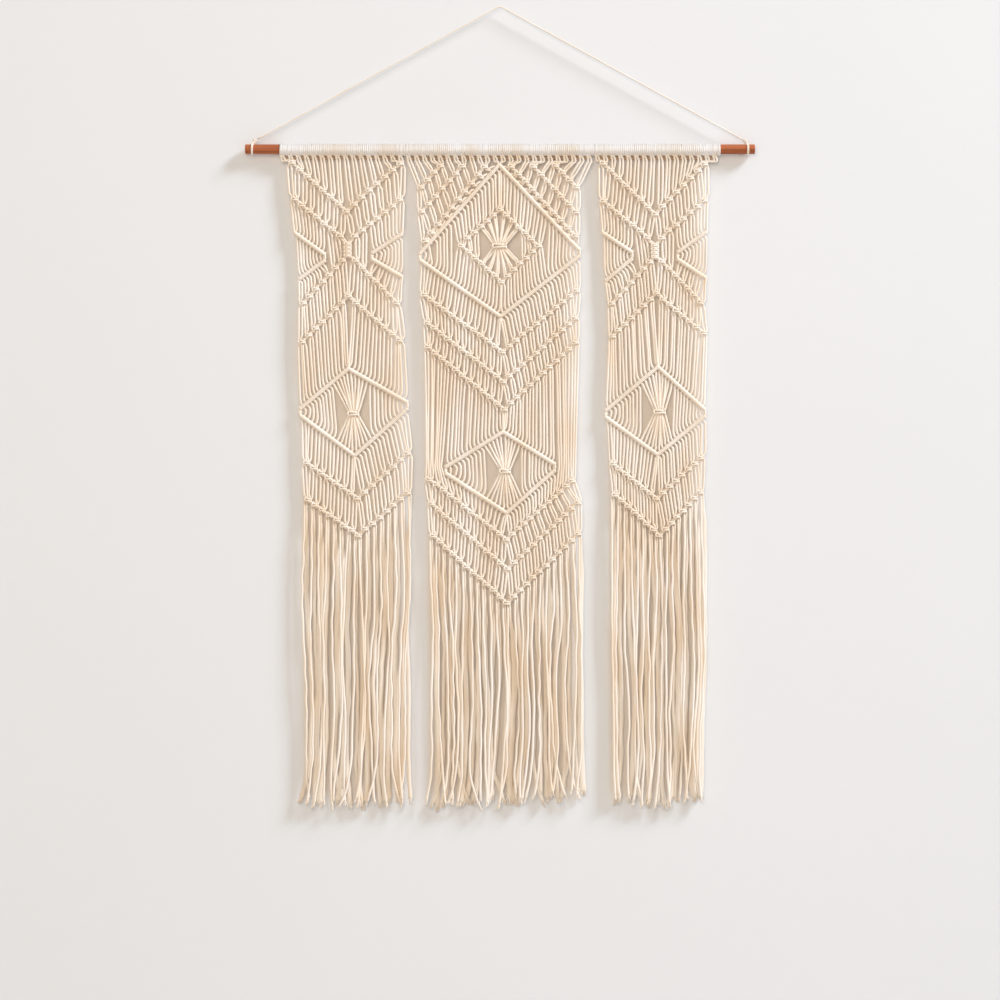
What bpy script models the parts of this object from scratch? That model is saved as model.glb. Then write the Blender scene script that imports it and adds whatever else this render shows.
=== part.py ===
"""Macrame wall hanging: three knotted panels with long fringes on one wooden rod.

The rod hangs by a thin cord that is tied round both of its ends and runs up to
one hanging point. Each panel is worked downwards from cords folded over the
rod. Rows of square knots and bars of hitches join its strands, and below the
last row the cords hang free as a fringe.

One strand of a web stands for the pair of cords that comes off one mounting
knot. The fringes have every cord. A strand is a three-sided prism with its
edge to the front, and a row is a ridge that fills the space between strands.

Frame: millimetres in the tables, +Z up, front towards -Y, origin at the
hanging point. "Across" is measured from a panel's own centre line and "down"
from the rod's axis.
"""

import math
from collections import namedtuple

import bmesh
import bpy

MM = 0.001

# Rod and hanger
ROD_LENGTH = 708.0
ROD_RADIUS = 6.65
ROD_SIDES = 24
ROD_CHAMFER = 0.8
ROD_DROP = 197.0  # hanging point down to the rod's axis
HANGER_RADIUS = 1.0
HANGER_BEND = 6.0  # radius of the cord's bend over the hanging point
TIE_ACROSS = 344.5  # middle of each tie on the rod
TIE_HALF_WIDTH = 1.8
TIE_HALF_THICKNESS = 1.0
TIE_SIDES = 8
TIE_STEPS = 20
TIE_KNOT = (3.0, 2.6, 2.0)  # half sizes of the knot on top of the rod
TIE_KNOT_INSET = 4.0  # from the tie's middle towards the panels
PIECE_GAP = 0.3

# Cords and knots
WRAP_THICKNESS = 1.9  # cord pressed flat round the rod
WRAP_SIDES = 12
PAIR_WIDTH = 6.0
PAIR_SHARE = 0.62  # widest share of the spacing that a strand may take
PAIR_FRONT = -2.2
PAIR_BACK = 1.5
ROOT_FRONT = -1.9  # a strand's edge where it enters the wraps
FRINGE_WIDTH = 2.8
FRINGE_FRONT = -1.5
FRINGE_DEPTH = 2.6
FRINGE_STAGGER = 0.7  # neighbouring fringe cords lie this far before and behind
FRINGE_SWAY = 2.2
FRINGE_LEVELS = (0.0, 0.35, 0.7, 1.0)  # shares of the length where a cord bends
SWAY_STEP = 0.3  # radians by which the sway shifts from one cord to the next
TIP_UNEVEN = 5.0
TIP_STEP = 2.3  # the same for the uneven ends
PARTING = 0.42  # upright gap between a web's edge and its fringe, 0.3 square to it

Kind = namedtuple("Kind", "tall ridge")
KINDS = {
    "knots": Kind(7.5, -4.6),
    "bar": Kind(6.0, -4.2),
    "gather": Kind(9.5, -5.2),
    "sinnet": Kind(19.0, -4.8),
    "edge": Kind(8.0, -4.6),
    "free": Kind(4.0, PAIR_FRONT),
}

# A row runs from the pair `first` at `left`, by way of `turn` midway, to the
# pair `last` at `right`. Places are (across, down).
Row = namedtuple("Row", "name kind first last left turn right")
Tips = namedtuple("Tips", "left right down_left down_middle down_right")
Panel = namedtuple("Panel", "name centre wrap_left wrap_right pairs rows tips")

LEFT_ROWS = (
    Row("vee_1", "knots", 0, 15, (-85.0, 17.5), (-5.0, 89.5), (76.0, 18.0)),
    Row("vee_2", "knots", 0, 15, (-82.0, 65.0), (-3.0, 129.0), (74.5, 66.5)),
    Row("sinnet", "sinnet", 7, 8, (-8.0, 141.5), None, (2.5, 141.5)),
    Row("left_chevron_top", "bar", 0, 4, (-76.0, 116.5), None, (-34.0, 146.5)),
    Row("left_chevron_foot", "bar", 0, 4, (-70.0, 180.5), None, (-34.0, 154.5)),
    Row("right_chevron_top", "bar", 11, 15, (31.0, 144.5), None, (73.0, 118.0)),
    Row("right_chevron_foot", "bar", 11, 15, (31.0, 152.5), None, (73.0, 177.5)),
    Row("peak_1", "knots", 0, 15, (-69.5, 218.0), (-1.5, 155.5), (70.0, 216.5)),
    Row("peak_2", "knots", 0, 15, (-70.0, 271.5), (-1.5, 204.5), (75.0, 270.0)),
    Row("diamond_top", "bar", 0, 15, (-69.0, 361.0), (-1.5, 305.0), (80.5, 352.0)),
    Row("diamond_knot", "gather", 6, 9, (0.5, 367.5), None, (10.5, 367.5)),
    Row("diamond_foot", "bar", 0, 15, (-69.0, 369.5), (7.0, 426.0), (80.5, 360.5)),
    Row("vee_3", "knots", 0, 15, (-64.5, 432.5), (11.0, 485.0), (85.5, 418.0)),
    Row("vee_4", "edge", 0, 15, (-62.5, 484.0), (12.5, 536.5), (85.0, 473.5)),
)

CENTRE_ROWS = (
    Row("left_corner_1", "knots", 0, 4, (-114.5, 57.5), None, (-78.5, 18.0)),
    Row("left_corner_2", "knots", 0, 7, (-113.5, 92.0), None, (-48.0, 18.5)),
    Row("left_corner_3", "knots", 0, 10, (-109.0, 133.0), None, (-17.5, 18.5)),
    Row("right_corner_1", "knots", 19, 23, (72.5, 18.0), None, (110.5, 57.5)),
    Row("right_corner_2", "knots", 16, 23, (41.5, 18.5), None, (110.0, 92.0)),
    Row("right_corner_3", "knots", 13, 23, (11.0, 18.0), None, (109.0, 126.0)),
    Row("upper_top", "bar", 0, 23, (-112.0, 145.5), (-1.0, 21.5), (110.5, 140.5)),
    Row("inner_top", "knots", 6, 17, (-55.0, 129.5), (-1.0, 83.0), (54.5, 130.5)),
    Row("inner_knot", "gather", 9, 14, (-9.0, 134.5), None, (7.5, 134.5)),
    Row("inner_foot", "knots", 6, 17, (-55.0, 138.5), (0.5, 184.0), (54.5, 139.5)),
    Row("upper_foot", "bar", 0, 23, (-112.0, 153.5), (0.5, 232.5), (110.5, 148.5)),
    Row("vee_1", "knots", 0, 23, (-110.5, 198.5), (3.0, 281.0), (110.5, 193.0)),
    Row("vee_2", "knots", 0, 23, (-105.5, 237.5), (4.5, 323.0), (108.5, 231.0)),
    Row("vee_3", "knots", 0, 23, (-104.0, 271.5), (5.5, 361.0), (108.5, 265.0)),
    Row("left_pass", "free", 0, 3, (-101.0, 440.0), None, (-83.5, 440.0)),
    Row("right_pass", "free", 20, 23, (84.0, 437.0), None, (103.0, 437.0)),
    Row("lower_top", "bar", 4, 19, (-76.0, 442.0), (4.5, 393.0), (76.5, 438.0)),
    Row("lower_knot", "gather", 10, 13, (2.0, 447.5), None, (12.0, 447.5)),
    Row("lower_foot", "bar", 4, 19, (-76.0, 450.0), (9.0, 505.5), (76.5, 446.0)),
    Row("vee_4", "knots", 0, 23, (-103.0, 455.0), (9.0, 542.0), (104.0, 457.0)),
    Row("vee_5", "knots", 0, 23, (-100.0, 489.0), (10.5, 583.0), (112.0, 486.5)),
    Row("vee_6", "edge", 0, 23, (-97.5, 533.0), (9.5, 630.0), (112.5, 530.5)),
)

RIGHT_ROWS = (
    Row("vee_1", "knots", 0, 15, (-79.0, 17.5), (-2.0, 93.0), (71.5, 18.0)),
    Row("vee_2", "knots", 0, 15, (-78.5, 68.0), (-3.0, 131.0), (71.0, 66.5)),
    Row("sinnet", "sinnet", 7, 8, (-8.0, 143.0), None, (2.5, 143.0)),
    Row("left_chevron_top", "bar", 0, 4, (-75.0, 116.0), None, (-33.5, 143.5)),
    Row("left_chevron_foot", "bar", 0, 4, (-71.0, 183.0), None, (-33.5, 152.0)),
    Row("right_chevron_top", "bar", 11, 15, (29.0, 143.5), None, (69.5, 115.0)),
    Row("right_chevron_foot", "bar", 11, 15, (29.0, 152.5), None, (68.0, 179.0)),
    Row("peak_1", "knots", 0, 15, (-66.5, 218.0), (-0.5, 157.0), (65.5, 216.0)),
    Row("peak_2", "knots", 0, 15, (-66.0, 264.0), (-0.5, 200.5), (69.0, 258.5)),
    Row("diamond_top", "bar", 0, 15, (-71.0, 363.5), (2.0, 302.5), (67.5, 362.5)),
    Row("diamond_knot", "gather", 6, 9, (-1.0, 365.0), None, (9.5, 365.0)),
    Row("diamond_foot", "bar", 0, 15, (-71.0, 372.0), (1.5, 424.5), (67.5, 371.0)),
    Row("vee_3", "knots", 0, 15, (-64.5, 433.5), (0.0, 485.0), (66.0, 424.5)),
    Row("vee_4", "edge", 0, 15, (-61.0, 476.0), (4.0, 536.5), (64.5, 472.5)),
)

PANELS = (
    Panel("left", -209.2, -96.4, 77.8, 16, LEFT_ROWS, Tips(-63.0, 82.0, 909.0, 910.0, 906.0)),
    Panel("centre", 0.0, -130.8, 130.8, 24, CENTRE_ROWS, Tips(-93.0, 114.0, 911.0, 908.0, 896.0)),
    Panel("right", 217.5, -86.1, 88.1, 16, RIGHT_ROWS, Tips(-57.0, 66.0, 902.0, 911.0, 900.0)),
)

Ring = namedtuple("Ring", "front right left")
Crossing = namedtuple("Crossing", "top ridge bottom")


def clear_scene():
    for thing in list(bpy.data.objects):
        bpy.data.objects.remove(thing, do_unlink=True)


def make_material(name, colour, roughness):
    """A Principled material of one colour."""
    material = bpy.data.materials.new(name)
    material.use_nodes = True
    shader = material.node_tree.nodes["Principled BSDF"]
    shader.inputs["Base Color"].default_value = (*colour, 1.0)
    shader.inputs["Roughness"].default_value = roughness
    shader.inputs["Metallic"].default_value = 0.0
    return material


def link_mesh(name, mesh, material, smooth_under=None):
    """Put a mesh into the scene as one object."""
    thing = bpy.data.objects.new(name, mesh)
    bpy.context.scene.collection.objects.link(thing)
    mesh.materials.append(material)
    if smooth_under:
        mesh.shade_smooth()
        mesh.set_sharp_from_angle(angle=math.radians(smooth_under))
    return thing


def mesh_from(points, faces, name, move=(0.0, 0.0, 0.0)):
    """A closed mesh from points in millimetres, moved and with its faces turned outwards."""
    mesh = bpy.data.meshes.new(name)
    placed = [[(value + shift) * MM for value, shift in zip(point, move)] for point in points]
    mesh.from_pydata(placed, [], faces)
    shape = bmesh.new()
    shape.from_mesh(mesh)
    bmesh.ops.recalc_face_normals(shape, faces=shape.faces)
    shape.to_mesh(mesh)
    shape.free()
    return mesh


def turned_ring(profile, steps, name, move):
    """A closed profile of (along, radius) points carried round the X axis."""
    points = []
    faces = []
    count = len(profile)
    for step in range(steps):
        angle = math.tau * (step + 0.5) / steps
        for along, radius in profile:
            points.append((along, radius * math.sin(angle), -radius * math.cos(angle)))
        for k in range(count):
            here, following = step * count, (step + 1) % steps * count
            beyond = (k + 1) % count
            faces.append((here + k, here + beyond, following + beyond, following + k))
    return mesh_from(points, faces, name, move)


def add_union(thing, other, name):
    """Join a helper mesh to an object."""
    other.hide_render = True
    other.display_type = "WIRE"
    union = thing.modifiers.new(name, "BOOLEAN")
    union.operation = "UNION"
    union.solver = "EXACT"
    union.object = other


def make_rod(material):
    """The wooden dowel, its end edges eased."""
    shape = bmesh.new()
    bmesh.ops.create_cone(
        shape,
        cap_ends=True,
        segments=ROD_SIDES,
        radius1=ROD_RADIUS * MM,
        radius2=ROD_RADIUS * MM,
        depth=ROD_LENGTH * MM,
    )
    mesh = bpy.data.meshes.new("rod")
    shape.to_mesh(mesh)
    shape.free()
    rod = link_mesh("rod", mesh, material, smooth_under=40)
    rod.location.z = -ROD_DROP * MM
    rod.rotation_euler.y = math.pi / 2
    chamfer = rod.modifiers.new("eased_ends", "BEVEL")
    chamfer.width = ROD_CHAMFER * MM
    chamfer.segments = 1
    chamfer.limit_method = "ANGLE"


def tie_knot_centre(side):
    """Middle of the small knot beside a tie, on top of the rod; side is -1 or 1."""
    across = side * (TIE_ACROSS - TIE_KNOT_INSET)
    return across, 0.0, -ROD_DROP + ROD_RADIUS + PIECE_GAP + TIE_KNOT[2]


def make_tie(side, material):
    """Two turns of the hanger cord round the rod's end, with the knot that holds them."""
    name = "hanger_tie_left" if side < 0 else "hanger_tie_right"
    middle = ROD_RADIUS + PIECE_GAP + TIE_HALF_THICKNESS
    profile = [
        (
            TIE_HALF_WIDTH * math.cos(math.tau * k / TIE_SIDES),
            middle + TIE_HALF_THICKNESS * math.sin(math.tau * k / TIE_SIDES),
        )
        for k in range(TIE_SIDES)
    ]
    ring = turned_ring(profile, TIE_STEPS, name, (side * TIE_ACROSS, 0.0, -ROD_DROP))
    tie = link_mesh(name, ring, material, smooth_under=60)
    shape = bmesh.new()
    bmesh.ops.create_uvsphere(shape, u_segments=10, v_segments=6, radius=1.0)
    for vert in shape.verts:
        vert.co = [
            (value * half + centre) * MM
            for value, half, centre in zip(vert.co, TIE_KNOT, tie_knot_centre(side))
        ]
    mesh = bpy.data.meshes.new(name + "_knot")
    shape.to_mesh(mesh)
    shape.free()
    add_union(tie, link_mesh(name + "_knot", mesh, material), "knot")


def hanger_route():
    """Points of the hanger cord: straight up from each knot, round the hanging point."""
    knot_across, _, knot_up = tie_knot_centre(1)
    top = HANGER_RADIUS - HANGER_BEND
    slope = math.atan2(top - knot_up, knot_across)
    start_gap = TIE_KNOT[0] + 2 * PIECE_GAP
    start = (knot_across - start_gap * math.cos(slope), knot_up + start_gap * math.sin(slope))
    bend_steps = 4
    half = []
    for step in range(bend_steps + 1):
        angle = slope * (1 - step / bend_steps)
        half.append((HANGER_BEND * math.sin(angle), top + HANGER_BEND * math.cos(angle)))
    run_steps = 12
    run = []
    for step in range(run_steps):
        share = step / run_steps
        run.append(tuple(a + share * (b - a) for a, b in zip(start, half[0])))
    right = run + half
    return [(-x, z) for x, z in right] + [(x, z) for x, z in reversed(right[:-1])]


def make_hanger(material):
    """The thin cord from tie to tie over the hanging point."""
    curve = bpy.data.curves.new("hanger_cord", "CURVE")
    curve.dimensions = "3D"
    curve.bevel_depth = HANGER_RADIUS * MM
    curve.bevel_resolution = 2
    curve.use_fill_caps = True
    route = hanger_route()
    spline = curve.splines.new("POLY")
    spline.points.add(len(route) - 1)
    for point, (x, z) in zip(spline.points, route):
        point.co = (x * MM, 0.0, z * MM, 1.0)
    curve.materials.append(material)
    bpy.context.scene.collection.objects.link(bpy.data.objects.new("hanger_cord", curve))


def on_row(row, pair):
    """Across, down and slope of a row where a pair crosses it; pair may be a fraction."""
    marks = [(row.first, row.left), (row.last, row.right)]
    if row.turn:
        marks.insert(1, ((row.first + row.last) / 2, row.turn))
    (a, start), (b, end) = marks[:2] if pair <= marks[1][0] else marks[-2:]
    share = (pair - a) / (b - a)
    across = start[0] + share * (end[0] - start[0])
    down = start[1] + share * (end[1] - start[1])
    return across, down, (end[1] - start[1]) / (end[0] - start[0])


class Strands:
    """Points and faces of one closed mesh of strands and the rows that join them."""

    def __init__(self):
        self.points = []
        self.faces = []

    def point(self, across, depth, down):
        self.points.append((across, depth, -down))
        return len(self.points) - 1

    def ring(self, across, down, slope, width, front, back):
        """A strand's section: an edge in front and two corners behind, leaning with the row."""
        half = width / 2
        return Ring(
            self.point(across, front, down),
            self.point(across + half, back, down + slope * half),
            self.point(across - half, back, down - slope * half),
        )

    def span(self, upper, lower):
        """The three sides of a strand between two rings."""
        for k in range(3):
            beyond = (k + 1) % 3
            self.faces.append((upper[k], upper[beyond], lower[beyond], lower[k]))

    def cap(self, ring):
        self.faces.append(tuple(ring))

    def back(self, crossing):
        top, bottom = crossing.top, crossing.bottom
        self.faces.append((top.left, top.right, bottom.right, bottom.left))

    def join(self, left, right):
        """The part of a row that fills the space between two neighbours."""
        for one, other in ((left.top, right.top), (left.bottom, right.bottom)):
            self.faces.append((one.front, other.front, other.left, one.right))
        self.faces.append((left.top.right, right.top.left, right.bottom.left, left.bottom.right))
        if left.ridge is None:
            self.faces.append(
                (left.top.front, right.top.front, right.bottom.front, left.bottom.front)
            )
            return
        self.faces.append((left.top.front, right.top.front, right.ridge, left.ridge))
        self.faces.append((left.ridge, right.ridge, right.bottom.front, left.bottom.front))

    def close_end(self, crossing, corner):
        """The end of a row: the side of its last strand, and the ridge's end face."""
        top, bottom = crossing.top, crossing.bottom
        upper, lower = getattr(top, corner), getattr(bottom, corner)
        self.faces.append((top.front, bottom.front, lower, upper))
        if crossing.ridge is not None:
            self.faces.append((top.front, crossing.ridge, bottom.front))

    def close_row(self, crossings):
        """All faces of a row once each strand's crossing is there, in order from the left."""
        for crossing in crossings:
            self.back(crossing)
        for left, right in zip(crossings, crossings[1:]):
            self.join(left, right)
        self.close_end(crossings[0], "left")
        self.close_end(crossings[-1], "right")


def strand_width(row):
    """Width of a pair on a row: less where the row draws the strands together."""
    spacing = (row.right[0] - row.left[0]) / (row.last - row.first)
    return min(PAIR_WIDTH, PAIR_SHARE * spacing)


def cross_row(strands, row, pair):
    """The rings and the ridge of one pair where it crosses a row."""
    kind = KINDS[row.kind]
    across, down, slope = on_row(row, pair)
    width = strand_width(row)
    half_tall = kind.tall / 2
    if row.kind == "edge":
        top = strands.ring(across, down - half_tall, slope, width, PAIR_FRONT, PAIR_BACK)
        foot = down - PARTING / 2
        return Crossing(top, None, strands.ring(across, foot, slope, width, kind.ridge, PAIR_BACK))
    if pair in (row.first, row.last):
        slope = 0.0
    return Crossing(
        strands.ring(across, down - half_tall, slope, width, PAIR_FRONT, PAIR_BACK),
        None if row.kind == "free" else strands.point(across, kind.ridge, down),
        strands.ring(across, down + half_tall, slope, width, PAIR_FRONT, PAIR_BACK),
    )


def make_web(panel, material):
    """A panel's knotted web with the wraps that hold it to the rod."""
    strands = Strands()
    crossings = {row.name: [] for row in panel.rows}
    wrap_width = panel.wrap_right - panel.wrap_left
    spacing = wrap_width / panel.pairs
    root_down = ROD_RADIUS + PIECE_GAP + WRAP_THICKNESS / 2
    for pair in range(panel.pairs):
        across = panel.wrap_left + spacing * (pair + 0.5)
        above = strands.ring(across, root_down, 0.0, PAIR_WIDTH, ROOT_FRONT, PAIR_BACK)
        strands.cap(above)
        met = [row for row in panel.rows if row.first <= pair <= row.last]
        for row in sorted(met, key=lambda row: on_row(row, pair)[1]):
            crossing = cross_row(strands, row, pair)
            strands.span(above, crossing.top)
            if row.kind == "free":
                strands.span(crossing.top, crossing.bottom)
            else:
                crossings[row.name].append(crossing)
            above = crossing.bottom
        strands.cap(above)
    for row in panel.rows:
        if row.kind != "free":
            strands.close_row(crossings[row.name])
    place = (panel.centre, 0.0, -ROD_DROP)
    name = "web_" + panel.name
    web = link_mesh(name, mesh_from(strands.points, strands.faces, name, place), material)

    flat_side = 1 / math.cos(math.pi / WRAP_SIDES)
    inner = (ROD_RADIUS + PIECE_GAP) * flat_side
    outer = inner + WRAP_THICKNESS * flat_side
    ends = (panel.wrap_left + PIECE_GAP / 2, panel.wrap_right - PIECE_GAP / 2)
    profile = [(ends[0], inner), (ends[0], outer), (ends[1], outer), (ends[1], inner)]
    wraps = turned_ring(profile, WRAP_SIDES, name + "_wraps", place)
    add_union(web, link_mesh(name + "_wraps", wraps, material), "wraps")


def cord_tip(tips, share, number):
    """Across and down of a fringe cord's cut end, a little uneven from cord to cord."""
    across = tips.left + share * (tips.right - tips.left)
    if share < 0.5:
        down = tips.down_left + 2 * share * (tips.down_middle - tips.down_left)
    else:
        down = tips.down_middle + (2 * share - 1) * (tips.down_right - tips.down_middle)
    return across, down + TIP_UNEVEN * math.sin(TIP_STEP * number)


def make_fringe(panel, material):
    """Every cord of a panel's fringe, held by the lower half of its last row."""
    row = panel.rows[-1]
    kind = KINDS[row.kind]
    strands = Strands()
    crossings = []
    count = 2 * panel.pairs
    for number in range(count):
        across, down, slope = on_row(row, number / 2 - 0.25)
        stagger = FRINGE_STAGGER if number % 2 else -FRINGE_STAGGER
        front = FRINGE_FRONT + stagger
        back = front + FRINGE_DEPTH
        head = strands.ring(
            across, down + PARTING / 2, slope, FRINGE_WIDTH, kind.ridge, PAIR_BACK
        )
        strands.cap(head)
        root_down = down + kind.tall / 2
        foot = strands.ring(across, root_down, slope, FRINGE_WIDTH, front, back)
        crossings.append(Crossing(head, None, foot))
        tip_across, tip_down = cord_tip(panel.tips, number / (count - 1), number)
        above = foot
        for share in FRINGE_LEVELS[1:]:
            sway = FRINGE_SWAY * share * math.sin(math.tau * share + SWAY_STEP * number)
            place = across + share * (tip_across - across) + sway
            level = root_down + share * (tip_down - root_down)
            below = strands.ring(place, level, 0.0, FRINGE_WIDTH, front, back)
            strands.span(above, below)
            above = below
        strands.cap(above)
    strands.close_row(crossings)
    name = "fringe_" + panel.name
    place = (panel.centre, 0.0, -ROD_DROP)
    link_mesh(name, mesh_from(strands.points, strands.faces, name, place), material)


def main():
    clear_scene()
    wood = make_material("warm_wood", (0.46, 0.17, 0.07), 0.5)
    cotton = make_material("natural_cotton", (0.88, 0.79, 0.66), 0.9)
    make_rod(wood)
    for side in (-1, 1):
        make_tie(side, cotton)
    make_hanger(cotton)
    for panel in PANELS:
        make_web(panel, cotton)
        make_fringe(panel, cotton)


main()
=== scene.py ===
"""Looks of a macrame wall hanging: three knotted cotton panels with long fringes on one wooden rod.

Every cord is followed from the rod to its cut end. It is a tube carried along a path
that is put together from stretches: free runs, square knots, hitches round a bar and
the fringe. Places in the tables are millimetres, "across" from a panel's centre line
and "down" from the rod's axis. Front is towards -Y and the wall on the +Y side.
"""

import math
from collections import namedtuple

import bpy
import numpy as np
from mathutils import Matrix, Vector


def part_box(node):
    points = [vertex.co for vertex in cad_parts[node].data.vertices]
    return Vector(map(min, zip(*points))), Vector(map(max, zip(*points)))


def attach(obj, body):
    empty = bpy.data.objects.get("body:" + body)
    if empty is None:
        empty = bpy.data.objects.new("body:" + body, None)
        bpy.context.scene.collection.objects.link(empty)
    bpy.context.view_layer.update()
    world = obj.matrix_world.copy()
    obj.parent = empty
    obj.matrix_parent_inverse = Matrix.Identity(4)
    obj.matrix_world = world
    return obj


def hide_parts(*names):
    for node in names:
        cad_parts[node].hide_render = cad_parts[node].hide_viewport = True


bl_info = {
    "name": "Macrame wall hanging",
    "version": (1, 0, 0),
    "blender": (4, 5, 0),
    "location": "View3D > Sidebar > Macrame",
    "description": "Builds the cords, knots, rod and stage of a macrame wall hanging",
    "category": "Add Mesh",
}

MM = 0.001
BODY = "root"
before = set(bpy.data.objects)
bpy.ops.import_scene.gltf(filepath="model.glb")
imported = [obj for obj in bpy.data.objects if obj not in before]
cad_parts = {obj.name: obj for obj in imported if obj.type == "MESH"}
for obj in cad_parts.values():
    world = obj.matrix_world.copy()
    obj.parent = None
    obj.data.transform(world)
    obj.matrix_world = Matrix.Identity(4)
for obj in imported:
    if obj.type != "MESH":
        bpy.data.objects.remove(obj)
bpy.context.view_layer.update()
ROD_LOW, ROD_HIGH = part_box("rod")
ROD_RADIUS = (ROD_HIGH.z - ROD_LOW.z) / 2 / MM
ROD_HALF_LENGTH = ROD_HIGH.x / MM
ROD_DROP = -(ROD_HIGH.z + ROD_LOW.z) / 2 / MM

# A row runs from the pair `first` at `left`, by way of `turn` midway, to the pair
# `last` at `right`. A half pair is one cord. In a parted row the web's two middle cords
# are away, leading the bars round it, and the others have closed up. The knot `skip` is
# left to a sinnet.
Row = namedtuple("Row", "name kind first last left turn right parted skip", defaults=(False, None))
Tips = namedtuple("Tips", "left right down_left down_middle down_right")
Panel = namedtuple("Panel", "name centre wrap_left wrap_right pairs rows tips")

LEFT_ROWS = (
    Row("vee_1", "knots", 0, 15, (-85.0, 14.0), (-5.0, 86.0), (76.0, 14.5)),
    Row("vee_2", "knots", 0, 15, (-82.0, 65.0), (-3.0, 129.0), (74.5, 66.5), False, 7),
    Row("sinnet", "sinnet", 7, 8, (-8.0, 139.5), None, (2.5, 139.5)),
    Row("left_chevron_top", "bar", 0, 4, (-76.0, 116.5), None, (-34.0, 146.5)),
    Row("left_chevron_foot", "bar", 0, 4, (-70.0, 180.5), None, (-34.0, 154.5)),
    Row("right_chevron_top", "bar", 11, 15, (31.0, 144.5), None, (73.0, 118.0)),
    Row("right_chevron_foot", "bar", 11, 15, (31.0, 152.5), None, (73.0, 177.5)),
    Row("peak_1", "knots", 0, 15, (-69.5, 219.0), (-1.5, 145.0), (70.0, 217.5), False, 7),
    Row("peak_2", "knots", 0, 15, (-70.0, 271.5), (-1.5, 204.5), (75.0, 270.0)),
    Row("diamond_top", "bar", 0, 15, (-69.0, 361.0), (-1.5, 305.0), (80.5, 352.0)),
    Row("diamond_knot", "gather", 5.5, 9.5, (0.5, 367.5), None, (10.5, 367.5), True),
    Row("diamond_foot", "bar", 0, 15, (-69.0, 369.5), (7.0, 426.0), (80.5, 360.5)),
    Row("vee_3", "knots", 0, 15, (-64.5, 432.5), (11.0, 485.0), (85.5, 418.0)),
    Row("vee_4", "knots", 0, 15, (-62.5, 484.0), (12.5, 536.5), (85.0, 473.5)),
)

CENTRE_ROWS = (
    Row("left_corner_1", "knots", 0, 4, (-114.5, 57.5), None, (-78.5, 18.0)),
    Row("left_corner_2", "knots", 0, 7, (-113.5, 92.0), None, (-48.0, 18.5)),
    Row("left_corner_3", "knots", 0, 10, (-109.0, 133.0), None, (-17.5, 18.5)),
    Row("right_corner_1", "knots", 19, 23, (72.5, 18.0), None, (110.5, 57.5)),
    Row("right_corner_2", "knots", 16, 23, (41.5, 18.5), None, (110.0, 92.0)),
    Row("right_corner_3", "knots", 13, 23, (11.0, 18.0), None, (109.0, 126.0)),
    Row("upper_top", "bar", 0, 23, (-112.0, 145.5), (-1.0, 21.5), (110.5, 140.5)),
    Row("inner_top", "knots", 6, 17, (-49.8, 127.0), (0.3, 84.0), (48.0, 128.5), True),
    Row("inner_knot", "gather", 9, 14, (-7.2, 134.5), None, (5.8, 134.5), True),
    Row("inner_foot", "knots", 5, 18, (-57.8, 130.2), (1.8, 183.8), (57.2, 130.2), True),
    Row("upper_foot", "bar", 0, 23, (-112.0, 153.5), (0.5, 232.5), (110.5, 148.5)),
    Row("vee_1", "knots", 0, 23, (-110.5, 198.5), (3.0, 281.0), (110.5, 193.0)),
    Row("vee_2", "knots", 0, 23, (-105.5, 237.5), (4.5, 323.0), (108.5, 231.0)),
    Row("vee_3", "knots", 0, 23, (-104.0, 271.5), (5.5, 361.0), (108.5, 265.0)),
    Row("left_pass", "free", 0, 3, (-101.0, 440.0), None, (-83.5, 440.0)),
    Row("right_pass", "free", 20, 23, (84.0, 437.0), None, (103.0, 437.0)),
    Row("lower_top", "bar", 4, 19, (-76.0, 442.0), (4.5, 393.0), (76.5, 438.0)),
    Row("lower_knot", "gather", 9.5, 13.5, (2.0, 447.5), None, (12.0, 447.5), True),
    Row("lower_foot", "bar", 4, 19, (-76.0, 450.0), (9.0, 505.5), (76.5, 446.0)),
    Row("vee_4", "knots", 0, 23, (-103.0, 455.0), (9.0, 542.0), (104.0, 457.0)),
    Row("vee_5", "knots", 0, 23, (-100.0, 489.0), (10.5, 583.0), (112.0, 486.5)),
    Row("vee_6", "knots", 0, 23, (-97.5, 533.0), (9.5, 630.0), (112.5, 530.5)),
)

RIGHT_ROWS = (
    Row("vee_1", "knots", 0, 15, (-79.0, 14.5), (-2.0, 90.0), (71.5, 15.0)),
    Row("vee_2", "knots", 0, 15, (-78.5, 68.0), (-3.0, 131.0), (71.0, 66.5), False, 7),
    Row("sinnet", "sinnet", 7, 8, (-7.5, 141.5), None, (3.0, 141.5)),
    Row("left_chevron_top", "bar", 0, 4, (-75.0, 116.0), None, (-33.5, 143.5)),
    Row("left_chevron_foot", "bar", 0, 4, (-71.0, 183.0), None, (-33.5, 152.0)),
    Row("right_chevron_top", "bar", 11, 15, (29.0, 143.5), None, (69.5, 115.0)),
    Row("right_chevron_foot", "bar", 11, 15, (29.0, 152.5), None, (68.0, 179.0)),
    Row("peak_1", "knots", 0, 15, (-66.5, 219.0), (-0.5, 147.0), (65.5, 217.0), False, 7),
    Row("peak_2", "knots", 0, 15, (-66.0, 264.0), (-0.5, 200.5), (69.0, 258.5)),
    Row("diamond_top", "bar", 0, 15, (-71.0, 363.5), (2.0, 302.5), (67.5, 362.5)),
    Row("diamond_knot", "gather", 5.5, 9.5, (-1.0, 365.0), None, (9.5, 365.0), True),
    Row("diamond_foot", "bar", 0, 15, (-71.0, 372.0), (1.5, 424.5), (67.5, 371.0)),
    Row("vee_3", "knots", 0, 15, (-64.5, 433.5), (0.0, 485.0), (66.0, 424.5)),
    Row("vee_4", "knots", 0, 15, (-61.0, 476.0), (4.0, 536.5), (64.5, 472.5)),
)

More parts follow.
